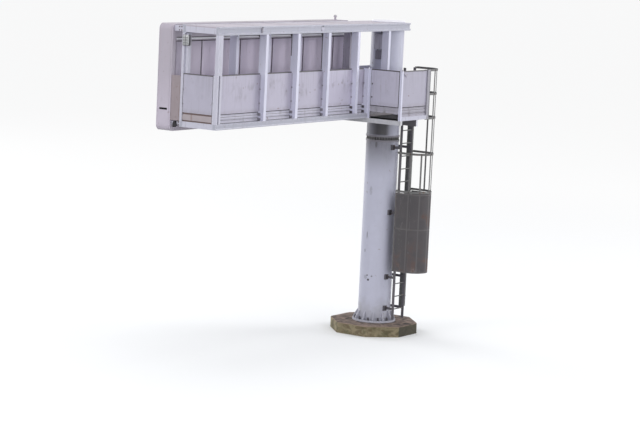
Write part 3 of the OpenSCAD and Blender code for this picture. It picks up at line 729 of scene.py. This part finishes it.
def kickOutline(front, z0):
    # a folded toe board: a deep fold below, two ridges above
    height = kickTop - 0.008 - z0
    rows = ((0.0, 0.030), (0.0, 0.0), (0.20, 0.0), (0.24, 0.009), (0.46, 0.009), (0.50, 0.001), (0.72, 0.001),
            (0.76, 0.008), (0.90, 0.008), (0.94, 0.0), (1.0, 0.0), (1.0, 0.030))
    return [(front + depth, z0 + height * part) for part, depth in rows]


def foldShadeLines(shape, x0, x1, front, heights):
    # painted shade in the folds of a toe board
    for z in heights:
        shape.block(x0 + 0.002, x1 - 0.002, front - 0.0012, front + 0.006, z - 0.0035, z + 0.0035)


panelLook = {"front": -0.341, "flange": 0.036, "tones": (-0.02, 0.01, -0.015, 0.15, 0.03),
             "folds": (5.374, 5.312), "endSpan": (-0.365, 0.421)}


def makePanels():
    sheet, caps, kicks, seams, folds = (Shape() for _ in range(5))
    front, half, posts = panelLook["front"], walk["halfPost"], walk["posts"][:4]
    starts = [cornerLook["right"]] + [x + half for x in posts]
    stops = [x - half for x in posts] + [walk["shortPost"][0]]
    for x0, x1, tone in zip(starts, stops, panelLook["tones"]):
        tray(sheet, caps, False, x0, x1, front, tone, flange=panelLook["flange"])
        kicks.prism(kickOutline(front, beamTop), "x", x0, x1, 0, tone)
        seams.block(x0, x1, front + 0.010, front + 0.016, kickTop - 0.012, kickTop + 0.012)
        foldShadeLines(folds, x0, x1, front, panelLook["folds"])
    piece("sidePanels", sheet, ["nearPanelPaint", "edgeWearAndHighlight"], "guard_panels", 0.0015)
    piece("panelCapping", caps, ["darkPaint"], edge=0.004)
    piece("sideToeBoards", kicks, ["kickPaint"], "kick_plates")
    piece("panelSeams", seams, ["blackGap"])
    piece("toeBoardFoldShade", folds, ["darkPaint"])
    end, endCaps, endKick, rusty, endSeams = (Shape() for _ in range(5))
    y0, y1 = panelLook["endSpan"]
    tray(end, endCaps, True, y0 + 0.014, y1 - 0.014, left, 0.0, 0.003)
    for y in (y0 + 0.001, y1 - 0.014):
        endSeams.block(left + 0.012, left + 0.016, y, y + 0.013, beamTop, panelTop - 0.002)
    # the end board is plainer, with a rusty angle along its top and foot
    endKick.block(left + 0.004, left + 0.034, y0 + 0.01, y1 - 0.01, beamTop + 0.030, kickTop - 0.028)
    for z, tall in ((beamTop + 0.001, 0.028), (kickTop - 0.028, 0.034)):
        rusty.block(left + 0.010, left + 0.030, y0, y1, z, z + tall)
    piece("endPanel", end, ["endPanelPaint", "edgeWearAndHighlight"], edge=0.0015)
    piece("endCapping", endCaps, ["darkPaint"], edge=0.004)
    piece("endToeBoard", endKick, ["stainedPaint"], edge=0.002)
    piece("rustyAngles", rusty, ["rustyPaint"])
    piece("endSeams", endSeams, ["blackGap"])


gratingLook = {"pitch": 0.0412, "half": 0.002, "depth": 0.030, "rodPitch": 0.1, "rod": 0.004, "rim": 0.006}


def grating(name, node):
    pitch, half, depth, rodPitch, rod, rim = gratingLook.values()
    low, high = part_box(node)
    shape = Shape()
    count = int((high.x - low.x) / pitch)
    for i in range(count + 1):
        x = low.x + half + (high.x - low.x - 2 * half) * i / count
        shape.block(x - half, x + half, low.y, high.y, high.z - depth, high.z)
    for i in range(int((high.y - low.y) / rodPitch) + 1):
        y = low.y + 0.02 + i * rodPitch
        if y < high.y:
            shape.block(low.x, high.x, y - rod, y + rod, high.z - 0.009, high.z - 0.001)
    for y in (low.y, high.y - rim):
        shape.block(low.x, high.x, y, y + rim, low.z, high.z)
    for x in (low.x, high.x - rim):
        shape.block(x, x + rim, low.y, high.y, low.z, high.z)
    piece(name, shape, ["dullSteel"], node)


roofLook = {"first": 0.30, "last": -0.5, "pitch": 1.18, "strip": 0.045, "rise": 0.004, "rivets": 9,
            "rivet": 0.009}


def makeRoof():
    first, last, pitch, strip, rise, rivets, rivet = roofLook.values()
    low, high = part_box("roof_cover")
    seams = Shape()
    x, top = low.x + first, high.z + rise
    while x < last:
        seams.block(x - strip / 2, x + strip / 2, low.y + 0.004, high.y - 0.004, high.z - 0.001, top)
        for i in range(rivets):
            y = low.y + 0.04 + (high.y - low.y - 0.08) * i / (rivets - 1)
            seams.bolt((x, y, top), (0, 0, 1), rivet, 0, 0.001)
        x += pitch
    piece("roofSeams", seams, ["roofPaint"], edge=0.001)


makeBeams()
makeUprights()
makeCornerPosts()
makePanels()
grating("walkwayGrating", "floor_deck")
makeRoof()
print("stage: walkway made")


# landing
land = {"left": -1.465, "near": -1.371, "back": -0.481, "floor": 5.13, "under": 5.03, "edgeTop": 5.22,
        "post": 0.06, "backPost": 0.04, "rightPost": (-0.355, -0.255), "wall": 0.008,
        "sideKick": 5.29, "folds": (5.366, 5.292), "sidePanel": (-1.290, -0.553)}


def makeOutriggers():
    beams, t, floor, under = Shape(), land["wall"], land["floor"], land["under"]
    low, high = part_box("landing_outriggers")
    x0, x1, x2, x3 = low.x, low.x + 0.10, high.x - 0.06, high.x
    y0, y1, inside, end = low.y, high.y, 0.002, 0.006
    for z in (under, floor - t):
        beams.block(x0, x1, y0, y1, z, z + t)
    beams.block(x0 + inside, x0 + inside + t, y0, y1, under + t, floor - t)
    for y in (y0, y1 - end):
        beams.block(x0 + inside, x1 - inside, y, y + end, under + t, floor - t)
    # the second outrigger's web and flanges take darkPaint, painted shade under the landing; its end plate is
    # white
    beams.block(x2, x2 + t, y0 + end, y1, low.z, floor, 1)
    for z in (low.z, floor - t):
        beams.block(x2 + t, x3, y0 + end, y1, z, z + t, 1)
    beams.block(x2, x3, y0, y0 + end, low.z, floor, 2)
    piece("landingOutriggers", beams, ["outriggerPaint", "darkPaint", "whiteTrim"], stands="landing_outriggers")


def folded(x0, x1, y0, y1, t):  # a channel's outline, its mouth towards x1
    return ((x1, y0), (x0, y0), (x0, y1), (x1, y1), (x1, y1 - t), (x0 + t, y1 - t), (x0 + t, y0 + t),
            (x1, y0 + t))


def makeLanding():
    edge, posts, sheet, caps, panel, panelCaps = (Shape() for _ in range(6))
    kicks, folds, side, seams, stay, bolts = (Shape() for _ in range(6))
    x0, near, rear, floor, t = land["left"], land["near"], land["back"], land["floor"], land["wall"]
    post, (x1, x2), face = land["post"], land["rightPost"], near + 0.03
    makeOutriggers()
    edge.prism(folded(near, near + 0.07, floor, land["edgeTop"], t), "x", x0 + post, x1)
    edge.block(x1, x2, near + 0.10, rear, floor, floor + 0.036)
    piece("landingEdge", edge, ["landingTrim", "edgeWearAndHighlight"], stands="landing_edge_beams", edge=0.002)
    grating("landingGrating", "landing_deck")
    posts.block(x0, x0 + post, near, near + post, floor, panelTop)
    posts.prism(folded(x1, x2, near, near + 0.10, t), "z", floor, panelTop, 2)
    posts.block(x0, x0 + land["backPost"], rear - post, rear, floor, panelTop)
    piece("landingPosts", posts, ["uprightPaintedLight", "edgeWearAndHighlight", "boxPaint"], stands="landing_posts", edge=0.002)
    tray(sheet, caps, True, *land["sidePanel"], x0, -0.03, 0.003)
    piece("landingSidePanel", sheet, ["landingPanelPaint", "edgeWearAndHighlight"], "landing_panels", 0.0015)
    tray(panel, panelCaps, False, x0 + post, x1, face, 0.02)
    piece("landingFrontPanel", panel, ["cleanPanelPaint", "edgeWearAndHighlight"], edge=0.0015)
    piece("landingSideCapping", caps, ["darkPaint"], edge=0.004)
    piece("landingFrontCapping", panelCaps, ["darkPaint"], edge=0.004)
    kicks.prism(kickOutline(face, land["edgeTop"]), "x", x0 + post, x1)
    piece("landingFrontToeBoard", kicks, ["landingKickPaint"], "landing_kick_plates")
    foldShadeLines(folds, x0 + post, x1, face, land["folds"])
    piece("landingToeBoardFoldShade", folds, ["darkPaint"])
    side.prism(kickOutline(x0, land["sideKick"]), "y", near + post, rear - post)
    piece("landingSideToeBoard", side, ["shadedKickPaint"])
    seams.block(x0 + post, x1, face + 0.010, face + 0.016, kickTop - 0.012, kickTop + 0.012)
    seams.block(x0 + 0.010, x0 + 0.016, near + post, rear - post, kickTop - 0.012, kickTop + 0.012)
    for y, wide in ((near + post, 0.020), (-0.554, 0.013)):
        seams.block(x0 + 0.012, x0 + 0.016, y, y + wide, floor, panelTop - 0.004)
    piece("landingSeams", seams, ["blackGap"])
    # the short stay at the top of the near left post
    stay.bar((x0 + 0.010, -1.362, panelTop + 0.02), (-1.255, -1.356, panelTop - 0.125), 0.034, 0.008, (0, 0, 1))
    piece("landingStay", stay, ["landingKickPaint"], edge=0.001)
    for z in walk["boltLevels"]:
        bolts.bolt((x0, -0.585, z), towardsEnd, 0.019)
    piece("landingBolts", bolts, ["darkPaint"])


makeLanding()
print("stage: landing made")


# ladder, cage and guard
cage = {"centre": (0.110, -0.931), "radius": 0.35, "hoops": (3.385, 4.275, 5.125, 5.685, 6.235),
        "angles": (0, -45, -90, -135, -180), "brackets": (0.583, 1.324, 2.8475, 4.371)}
guardLook = {"bottom": 1.50, "top": 3.35, "pitch": 0.010, "wire": 0.0079, "thick": 0.003, "arc": 20,
             "leg": 0.3495, "frame": 0.032, "middle": (2.50, 2.53)}


def makeLadder():
    bolts = Shape()
    for z in cage["hoops"]:
        for angle in cage["angles"]:
            if z < 5.0 or angle >= -90:  # the upper hoops end at the landing
                out = outward(angle)
                bolts.bolt(Vector((*cage["centre"], z)) + out * cage["radius"], out, 0.016, 0, 0.002)
    for x, way in ((-0.112, -1), (0.332, 1)):
        for z in cage["hoops"][:2]:
            bolts.bolt((x, -0.581, z + 0.03), (way, 0, 0), 0.016, 0, 0.002)
    for z in cage["brackets"]:
        for dz in (-0.038, 0.038):
            bolts.bolt((-0.115, -0.40, z + dz), (0, -1, 0), 0.018)
    piece("ladderBolts", bolts, ["boltSteel"])


def guardPath(radius, arc):
    cx, cy = cage["centre"]
    turns = [math.pi * i / arc for i in range(arc + 1)]
    bend = [(cx + radius * math.cos(turn), cy - radius * math.sin(turn)) for turn in turns]
    return [(cx + radius, cy + guardLook["leg"]), *bend, (cx - radius, cy + guardLook["leg"])]


def hoopBand(shape, outside, inside, z0, z1, arc):
    pairs = zip(guardPath(outside, arc), guardPath(inside, arc))
    shape.loft([[(*a, z0), (*b, z0), (*b, z1), (*a, z1)] for a, b in pairs])


def makeGuard():
    bottom, top, pitch, wire, thick, arc, leg, rimTall, middle = guardLook.values()
    mesh, rim, radius = Shape(), Shape(), cage["radius"]

    def upright(shape, x, y, width, depth, across):
        shape.bar((x, y, bottom), (x, y, top), width, depth, across)

    for i in range(int((top - bottom) / pitch)):
        z = bottom + (i + 0.5) * pitch
        hoopBand(mesh, radius - 0.0015, radius - 0.0015 - thick, z - wire / 2, z + wire / 2, arc)
    path = [Vector((*spot, 0)) for spot in guardPath(radius - 0.003, 90)]
    carried = 0.0  # keeps the wires evenly apart from one stretch to the next
    for a, b in zip(path, path[1:]):
        length, along = (b - a).length, (b - a).normalized()
        while carried < length:
            spot = a + along * carried
            upright(mesh, spot.x, spot.y, wire, thick * 0.9, along)
            carried += pitch
        carried -= length
    piece("guardMesh", mesh, ["meshSteel"], "ladder_guard")
    for z0, z1 in ((bottom, bottom + rimTall), (top - rimTall, top), middle):
        hoopBand(rim, radius, radius - 0.006, z0, z1, 32)
    cx, cy = cage["centre"]
    for angle in cage["angles"]:
        out = outward(angle)
        spot = Vector((cx, cy, 0)) + out * (radius - 0.0035)
        upright(rim, spot.x, spot.y, 0.028, 0.005, (-out.y, out.x, 0))
    for x in (cx - radius + 0.003, cx + radius - 0.003):
        upright(rim, x, cy + leg - 0.016, 0.032, 0.006, (0, 1, 0))
    piece("guardFrame", rim, ["guardFramePaint"])


ductLook = {"lids": 5, "straps": 6, "strapPitch": 0.8}


def makeDuct():
    low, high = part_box("side_duct")
    shape = Shape()
    shape.block(low.x + 0.002, high.x, low.y + 0.008, high.y, low.z, high.z)
    rise = (high.z - low.z) / ductLook["lids"]
    for i in range(ductLook["lids"]):
        z = low.z + rise * i
        shape.block(low.x, high.x, low.y, low.y + 0.008, z + 0.003, z + rise - 0.003, 0, 0.02 * (i % 2))
    for i in range(ductLook["straps"]):
        z = low.z + 0.25 + i * ductLook["strapPitch"]
        shape.block(low.x, high.x + 0.004, low.y - 0.003, high.y, z - 0.015, z + 0.015, 0, -0.02)
    piece("cableDuct", shape, ["ductPaint"], "side_duct", 0.002)


makeLadder()
makeGuard()
makeDuct()
print("stage: ladder, cage and guard made")


# sign case
case = {"left": -7.175, "right": -0.525, "back": 0.731, "front": 1.091, "bottom": 5.01, "top": 7.26,
        "corner": 0.12, "doorBottom": 5.21, "doorTop": 6.90, "seal": 0.021, "border": 0.045,
        "joints": (-7.045, -6.145, -4.760, -3.560, -2.360, -1.160, -0.705),
        "shades": (-0.12, 0.03, 0.01, 0.01, -0.01, -0.05),
        "slot": (5.452, 5.494), "screws": (5.14, 5.8, 6.45, 7.1)}


def cutAway(target, cutter):
    change = target.modifiers.new("cut", "BOOLEAN")
    change.object = cutter
    change.solver = "EXACT"
    made = bpy.data.meshes.new_from_object(target.evaluated_get(bpy.context.evaluated_depsgraph_get()))
    target.modifiers.clear()
    target.data = made
    bpy.data.objects.remove(cutter)


def capOutline(x, turn, inset=0.0):
    # the end of the case seen from behind: a strip with rounded outer corners
    r = case["corner"] - inset
    base = x + turn * case["corner"]
    bottom, top = case["bottom"] + inset, case["top"] - inset
    points = [(base, bottom)]
    for centreZ, start in ((bottom + r, 270), (top - r, 180)):
        for i in range(13):
            angle = math.radians(start - i * 90 / 12)
            points.append((base + turn * r * math.cos(angle), centreZ + r * math.sin(angle)))
    points.append((base, top))
    seen = points[:1]
    for spot in points[1:]:
        if (Vector(spot) - Vector(seen[-1])).length > 1e-5:
            seen.append(spot)
    return seen


def makeCase():
    caps, rims, slots, dark, screws = (Shape() for _ in range(5))
    front, (z0, z1) = case["front"], case["slot"]
    for x, turn in ((case["left"], 1), (case["right"], -1)):
        for y0, y1 in ((0.773, front - 0.02), (case["back"], 0.769), (front - 0.017, front)):
            caps.prism(capOutline(x, turn), "y", y0, y1)
        for y0, y1 in ((0.768, 0.774), (front - 0.021, front - 0.016)):
            rims.prism(capOutline(x, turn, 0.006), "y", y0, y1)
        slots.block(x - turn * 0.05, x + turn * 0.025, 0.815, 1.022, z0, z1)
        dark.block(x + turn * 0.020, x + turn * 0.028, 0.812, 1.025, z0 - 0.003, z1 + 0.003)
        for z in case["screws"]:
            screws.bolt((x, 0.79, z), (-turn, 0, 0), 0.008, 0, 0.001)
    body = piece("caseEnds", caps, ["casePaint"], "case_end_caps")
    piece("caseEndSeams", rims, ["blackGap"])
    cutAway(body, build("slotCutter", slots))
    x = case["left"] + 0.012
    for i in range(9):
        y = 0.835 + i * 0.0205
        dark.bar((x, y, z0), (x, y, z1), 0.016, 0.003, (1, 0.5, 0))
    piece("slotLouvres", dark, ["blackGap"])
    piece("caseScrews", screws, ["casePaint"])


def makeDoors():
    doors, frames, fascia = Shape(), Shape(), Shape()
    seal, border, joints = case["seal"], case["border"], case["joints"]
    z0, z1 = case["doorBottom"] + 0.012, case["doorTop"] - 0.016
    for a, b, shade in zip(joints, joints[1:], case["shades"]):
        x0, x1 = a + seal, b - seal
        doors.block(x0, x1, 0.744, 0.758, z0, z1, 0, shade)
        for p, q, r, s in ((x0, x1, z0, z0 + border), (x0, x1, z1 - border, z1),
                           (x0, x0 + border, z0 + border, z1 - border),
                           (x1 - border, x1, z0 + border, z1 - border)):
            doors.block(p, q, 0.7405, 0.745, r, s, 0, shade + 0.015)
    piece("rearDoors", doors, ["doorPaint"], "case_doors", 0.0015)
    x0, x1 = joints[0], joints[-1] + 0.06
    frames.block(x0 - 0.010, x1, 0.757, 0.761, case["doorBottom"], case["doorTop"] + 0.03)
    piece("doorRebates", frames, ["blackGap"])
    # a dark strip over the drip rail: painted shadow under the roof beam
    fascia.block(x0, x1, 0.7295, 0.733, 6.961, 6.984)
    piece("fasciaShadowStrip", fascia, ["darkPaint"])


signLook = {"columns": 20, "rows": 7, "margin": 0.02, "gap": 0.0015, "depth": 0.008}


def makeSign():
    columns, rows, margin, gap, depth = signLook.values()
    low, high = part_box("sign_face")
    shape = Shape()
    shape.block(low.x, high.x, low.y, high.y - depth, low.z, high.z, 1)
    width, height = (high.x - low.x - 2 * margin) / columns, (high.z - low.z - 2 * margin) / rows
    for i in range(columns):
        for j in range(rows):
            x, z = low.x + margin + i * width, low.z + margin + j * height
            shape.block(x + gap, x + width - gap, high.y - depth, high.y, z + gap, z + height - gap, 0,
                        0.01 * math.sin(5 * i + 3 * j))
    piece("displayModules", shape, ["displayBoard", "blackGap"], "sign_face")


makeCase()
makeDoors()
makeSign()
print("stage: sign case made")


# small pieces
lampLook = {"plate": 0.030, "corner": 0.04, "round": 0.032, "wire": 0.007, "wireDepth": 0.005, "ribInset": 0.06}


def makeLamp():
    plate, corner, bend, wire, wireDepth, ribInset = lampLook.values()
    low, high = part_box("bulkhead_lamp")
    shape = Shape()
    y0, y1, z0, z1 = low.y, high.y, low.z, high.z
    midY, midZ = (y0 + y1) / 2, (z0 + z1) / 2
    shape.block(left - plate, left + 0.04, y0, 0.381, z0 + 0.01, z1 - 0.01)
    shape.block(left - plate, left, y0, y1, z0, z1)
    outline = []
    for cy, cz, start in ((y1 - corner, z1 - corner, 0), (y0 + corner, z1 - corner, 90),
                          (y0 + corner, z0 + corner, 180), (y1 - corner, z0 + corner, 270)):
        for i in range(7):
            out = outward(start + i * 15)
            outline.append((cy + bend * out.x, cz + bend * out.y))
    # the glass narrows towards its front
    rings = []
    for x, size in ((left - 0.029, 1.0), (left - 0.040, 1.0), (left - 0.050, 0.93), (low.x + 0.006, 0.70)):
        rings.append([(x, midY + (a - midY) * size, midZ + (b - midZ) * size) for a, b in outline])
    shape.loft(rings, 1)
    for y, z in ((y0 + 0.014, z1 - 0.002), (y1 - 0.002, z0 + 0.014)):
        shape.block(left - 0.0312, left - 0.029, y0 + 0.0005, y, z0 + 0.0005, z, 2)
    for z in (z0 + ribInset, midZ, z1 - ribInset):
        for a, b in (((left - 0.035, y0 + 0.006), (low.x + 0.004, y0 + 0.03)),
                     ((low.x + 0.003, y0 + 0.028), (low.x + 0.003, y1 - 0.028)),
                     ((low.x + 0.004, y1 - 0.03), (left - 0.035, y1 - 0.006))):
            shape.bar((*a, z), (*b, z), wire, wireDepth, (0, 0, 1), 2)
    x = low.x + 0.002
    shape.bar((x, midY, z0 + 0.012), (x, midY, z1 - 0.012), wire, 0.004, (0, 1, 0), 2)
    piece("bulkheadLamp", shape, ["boxPaint", "lampGlass", "lugPaint"], "bulkhead_lamp", 0.001)


sensorLook = {"body": ((0.042, 0.0), (0.042, 0.006), (0.025, 0.010), (0.025, 0.058), (0.044, 0.062),
                       (0.045, 0.070), (0.038, 0.085)),
              "dome": ((0.038, 0.085), (0.036, 0.098), (0.028, 0.108))}


def makeSensor():
    low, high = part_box("light_sensor")
    centre = (low.x + high.x) / 2, (low.y + high.y) / 2
    shape = Shape()
    shape.lathe([(r, low.z + z) for r, z in sensorLook["body"]], centre, 32)
    dome = [(r, low.z + z) for r, z in sensorLook["dome"]] + [(0.014, high.z - 0.001), (0.004, high.z)]
    shape.lathe(dome, centre, 32, 1)
    piece("lightSensor", shape, ["casePaint", "lampGlass"], "light_sensor")


boxLook = {"middle": -0.06, "lid": 0.0035, "screw": 0.008, "glandX": -0.425,
           "boxes": ((-0.471, 0.108, 6.644, 6.996, 1), (-0.441, 0.091, 6.414, 6.606, 0))}


def makeColumnBoxes():
    middle, thick, screw, glandX, boxes = boxLook.values()
    lid = Shape()
    for face, half, z0, z1, paint in boxes:
        lid.block(face - thick, face, middle - half, middle + half, z0, z1, paint)
        for y in (-half + 0.013, half - 0.013):
            for z in (z0 + 0.016, z1 - 0.016):
                lid.bolt((face - thick, middle + y, z), towardsEnd, screw, 0, 0.001)
    for y in (middle - 0.05, middle + 0.05):
        lid.rod((glandX, y, 6.64), (glandX, y, 6.61), 0.012)
    piece("columnBoxLids", lid, ["fixingPaint", "shelteredPaint"], edge=0.002)


hangerLook = {"first": -7.095, "levels": (5.165, 5.215, 7.14, 7.21), "across": (0.60, 0.54),
              "bracket": ((0.58, 5.115), (0.66, 5.10), (0.668, 5.18), (0.64, 5.235), (0.60, 5.235), (0.572, 5.17))}


def makeHangerBolts():
    bolts, bracket = Shape(), Shape()
    for x in (hangerLook["first"], *walk["posts"][:4]):
        for z in hangerLook["levels"]:
            for y in hangerLook["across"]:
                bolts.bolt((x - 0.03, y, z), towardsEnd, 0.014, 0, 0.002)
    piece("hangerBolts", bolts, ["boltSteel"])
    # the dark end bracket under the closing panel
    bracket.prism(hangerLook["bracket"], "x", -7.165, -7.14)
    bracket.block(-7.163, -7.06, 0.60, 0.612, 5.13, 5.22)
    piece("endBracket", bracket, ["blackGap"], edge=0.004)


makeLamp()
makeSensor()
makeColumnBoxes()
makeHangerBolts()
print("stage: small pieces made")


# floor, light and camera
studioLook = {
    "reach": 400, "ground": (140, 140, 140), "pale": ((232, 233, 234), (237, 238, 239)), "glow": 0.86,
    "sky": (0.97, 0.98, 1.0, 1.0), "skyLevel": 0.66, "aim": (-3.0, 0.0, 4.5),
    "lamps": {  # where each stands, its size and its level at the object
        "overhead": ((-3.0, 0.0, 45.0), 30.0, 0.38), "viewSide": ((-44.0, -28.0, 11.0), 22.0, 0.10),
        "front": ((-20.0, -44.0, 13.0), 20.0, 0.18), "left": ((-44.0, 18.0, 16.0), 18.0, 0.24),
        "right": ((34.0, -30.0, 16.0), 22.0, 0.34), "rear": ((6.0, 44.0, 16.0), 24.0, 0.34),
    },
}


def makeFloor():
    # the backdrop is pale; what lights the object from below is a darker ground
    finish = Finish("paleFloor", 0.9)
    seen = finish.backdrop()
    pale = finish.mix(finish.speckle(0.05, 3), *studioLook["pale"])
    finish.set("Base Color", finish.mix(seen, studioLook["ground"], pale))
    away = finish.node("ShaderNodeVectorMath", {"operation": "LENGTH"}, {0: finish.place}, out="Value")
    glow = finish.node("ShaderNodeEmission", {}, {0: (1, 1, 1, 1), 1: 1.0})
    fade = seen * finish.ease(away, 6.0, 34.0) * studioLook["glow"]
    lit = Wire(finish, finish.shader.outputs[0])
    shown = finish.node("ShaderNodeMixShader", {}, {0: fade, 1: lit, 2: glow})
    finish.plug(finish.tree.nodes["Material Output"].inputs[0], shown)
    finishes["paleFloor"] = finish.material
    shape, reach = Shape(), studioLook["reach"]
    shape.block(-reach, reach, -reach, reach, -0.02, -0.0005)
    build("studioFloor", shape, ["paleFloor"])


def makeLight():
    world = bpy.data.worlds.new("studioSky")
    bpy.context.scene.world = world
    world.use_nodes = True
    sky = Nodes(world.node_tree)
    dim = sky.tree.nodes["Background"]
    sky.plug(dim.inputs[0], studioLook["sky"])
    sky.plug(dim.inputs[1], studioLook["skyLevel"])
    white = sky.node("ShaderNodeBackground", {}, {0: (1, 1, 1, 1)})
    shown = sky.node("ShaderNodeMixShader", {}, {0: sky.backdrop(), 1: Wire(sky, dim.outputs[0]), 2: white})
    sky.plug(sky.tree.nodes["World Output"].inputs[0], shown)
    aim = Vector(studioLook["aim"])
    for name, (spot, size, level) in studioLook["lamps"].items():
        light = bpy.data.lights.new(name, "AREA")
        light.shape = "SQUARE"
        light.size = size
        light.energy = level * math.pi ** 2 * (Vector(spot) - aim).length ** 2
        lamp = bpy.data.objects.new(name, light)
        lamp.location = spot
        lamp.rotation_euler = (aim - Vector(spot)).to_track_quat("-Z", "Y").to_euler()
        bpy.context.scene.collection.objects.link(lamp)


cameraLook = {"spot": (-45.155, -28.78, 9.638), "heading": 56.01, "down": 7.38, "roll": 2.68,
              "focalPixels": 2300.0, "photoWidth": 640, "sensor": 36.0}


def makeCamera():
    look = cameraLook
    heading, down, roll = (math.radians(look[key]) for key in ("heading", "down", "roll"))
    forward = Vector((math.sin(heading) * math.cos(down), math.cos(heading) * math.cos(down),
                      -math.sin(down)))
    level = Vector((math.cos(heading), -math.sin(heading), 0))
    upward = level.cross(forward)
    side = level * math.cos(roll) + upward * math.sin(roll)
    top = upward * math.cos(roll) - level * math.sin(roll)
    data = bpy.data.cameras.new("photoCamera")
    data.sensor_fit = "HORIZONTAL"
    data.sensor_width = look["sensor"]
    data.lens = look["focalPixels"] * look["sensor"] / look["photoWidth"]
    data.clip_start, data.clip_end = 0.5, 2000
    camera = bpy.data.objects.new("photoCamera", data)
    turn = Matrix((side, top, -forward)).transposed().to_4x4()
    camera.matrix_world = Matrix.Translation(look["spot"]) @ turn
    bpy.context.scene.collection.objects.link(camera)
    bpy.context.scene.camera = camera


makeFloor()
makeLight()
makeCamera()
bpy.context.scene.view_settings.view_transform = "Standard"
print("stage: studio ready")
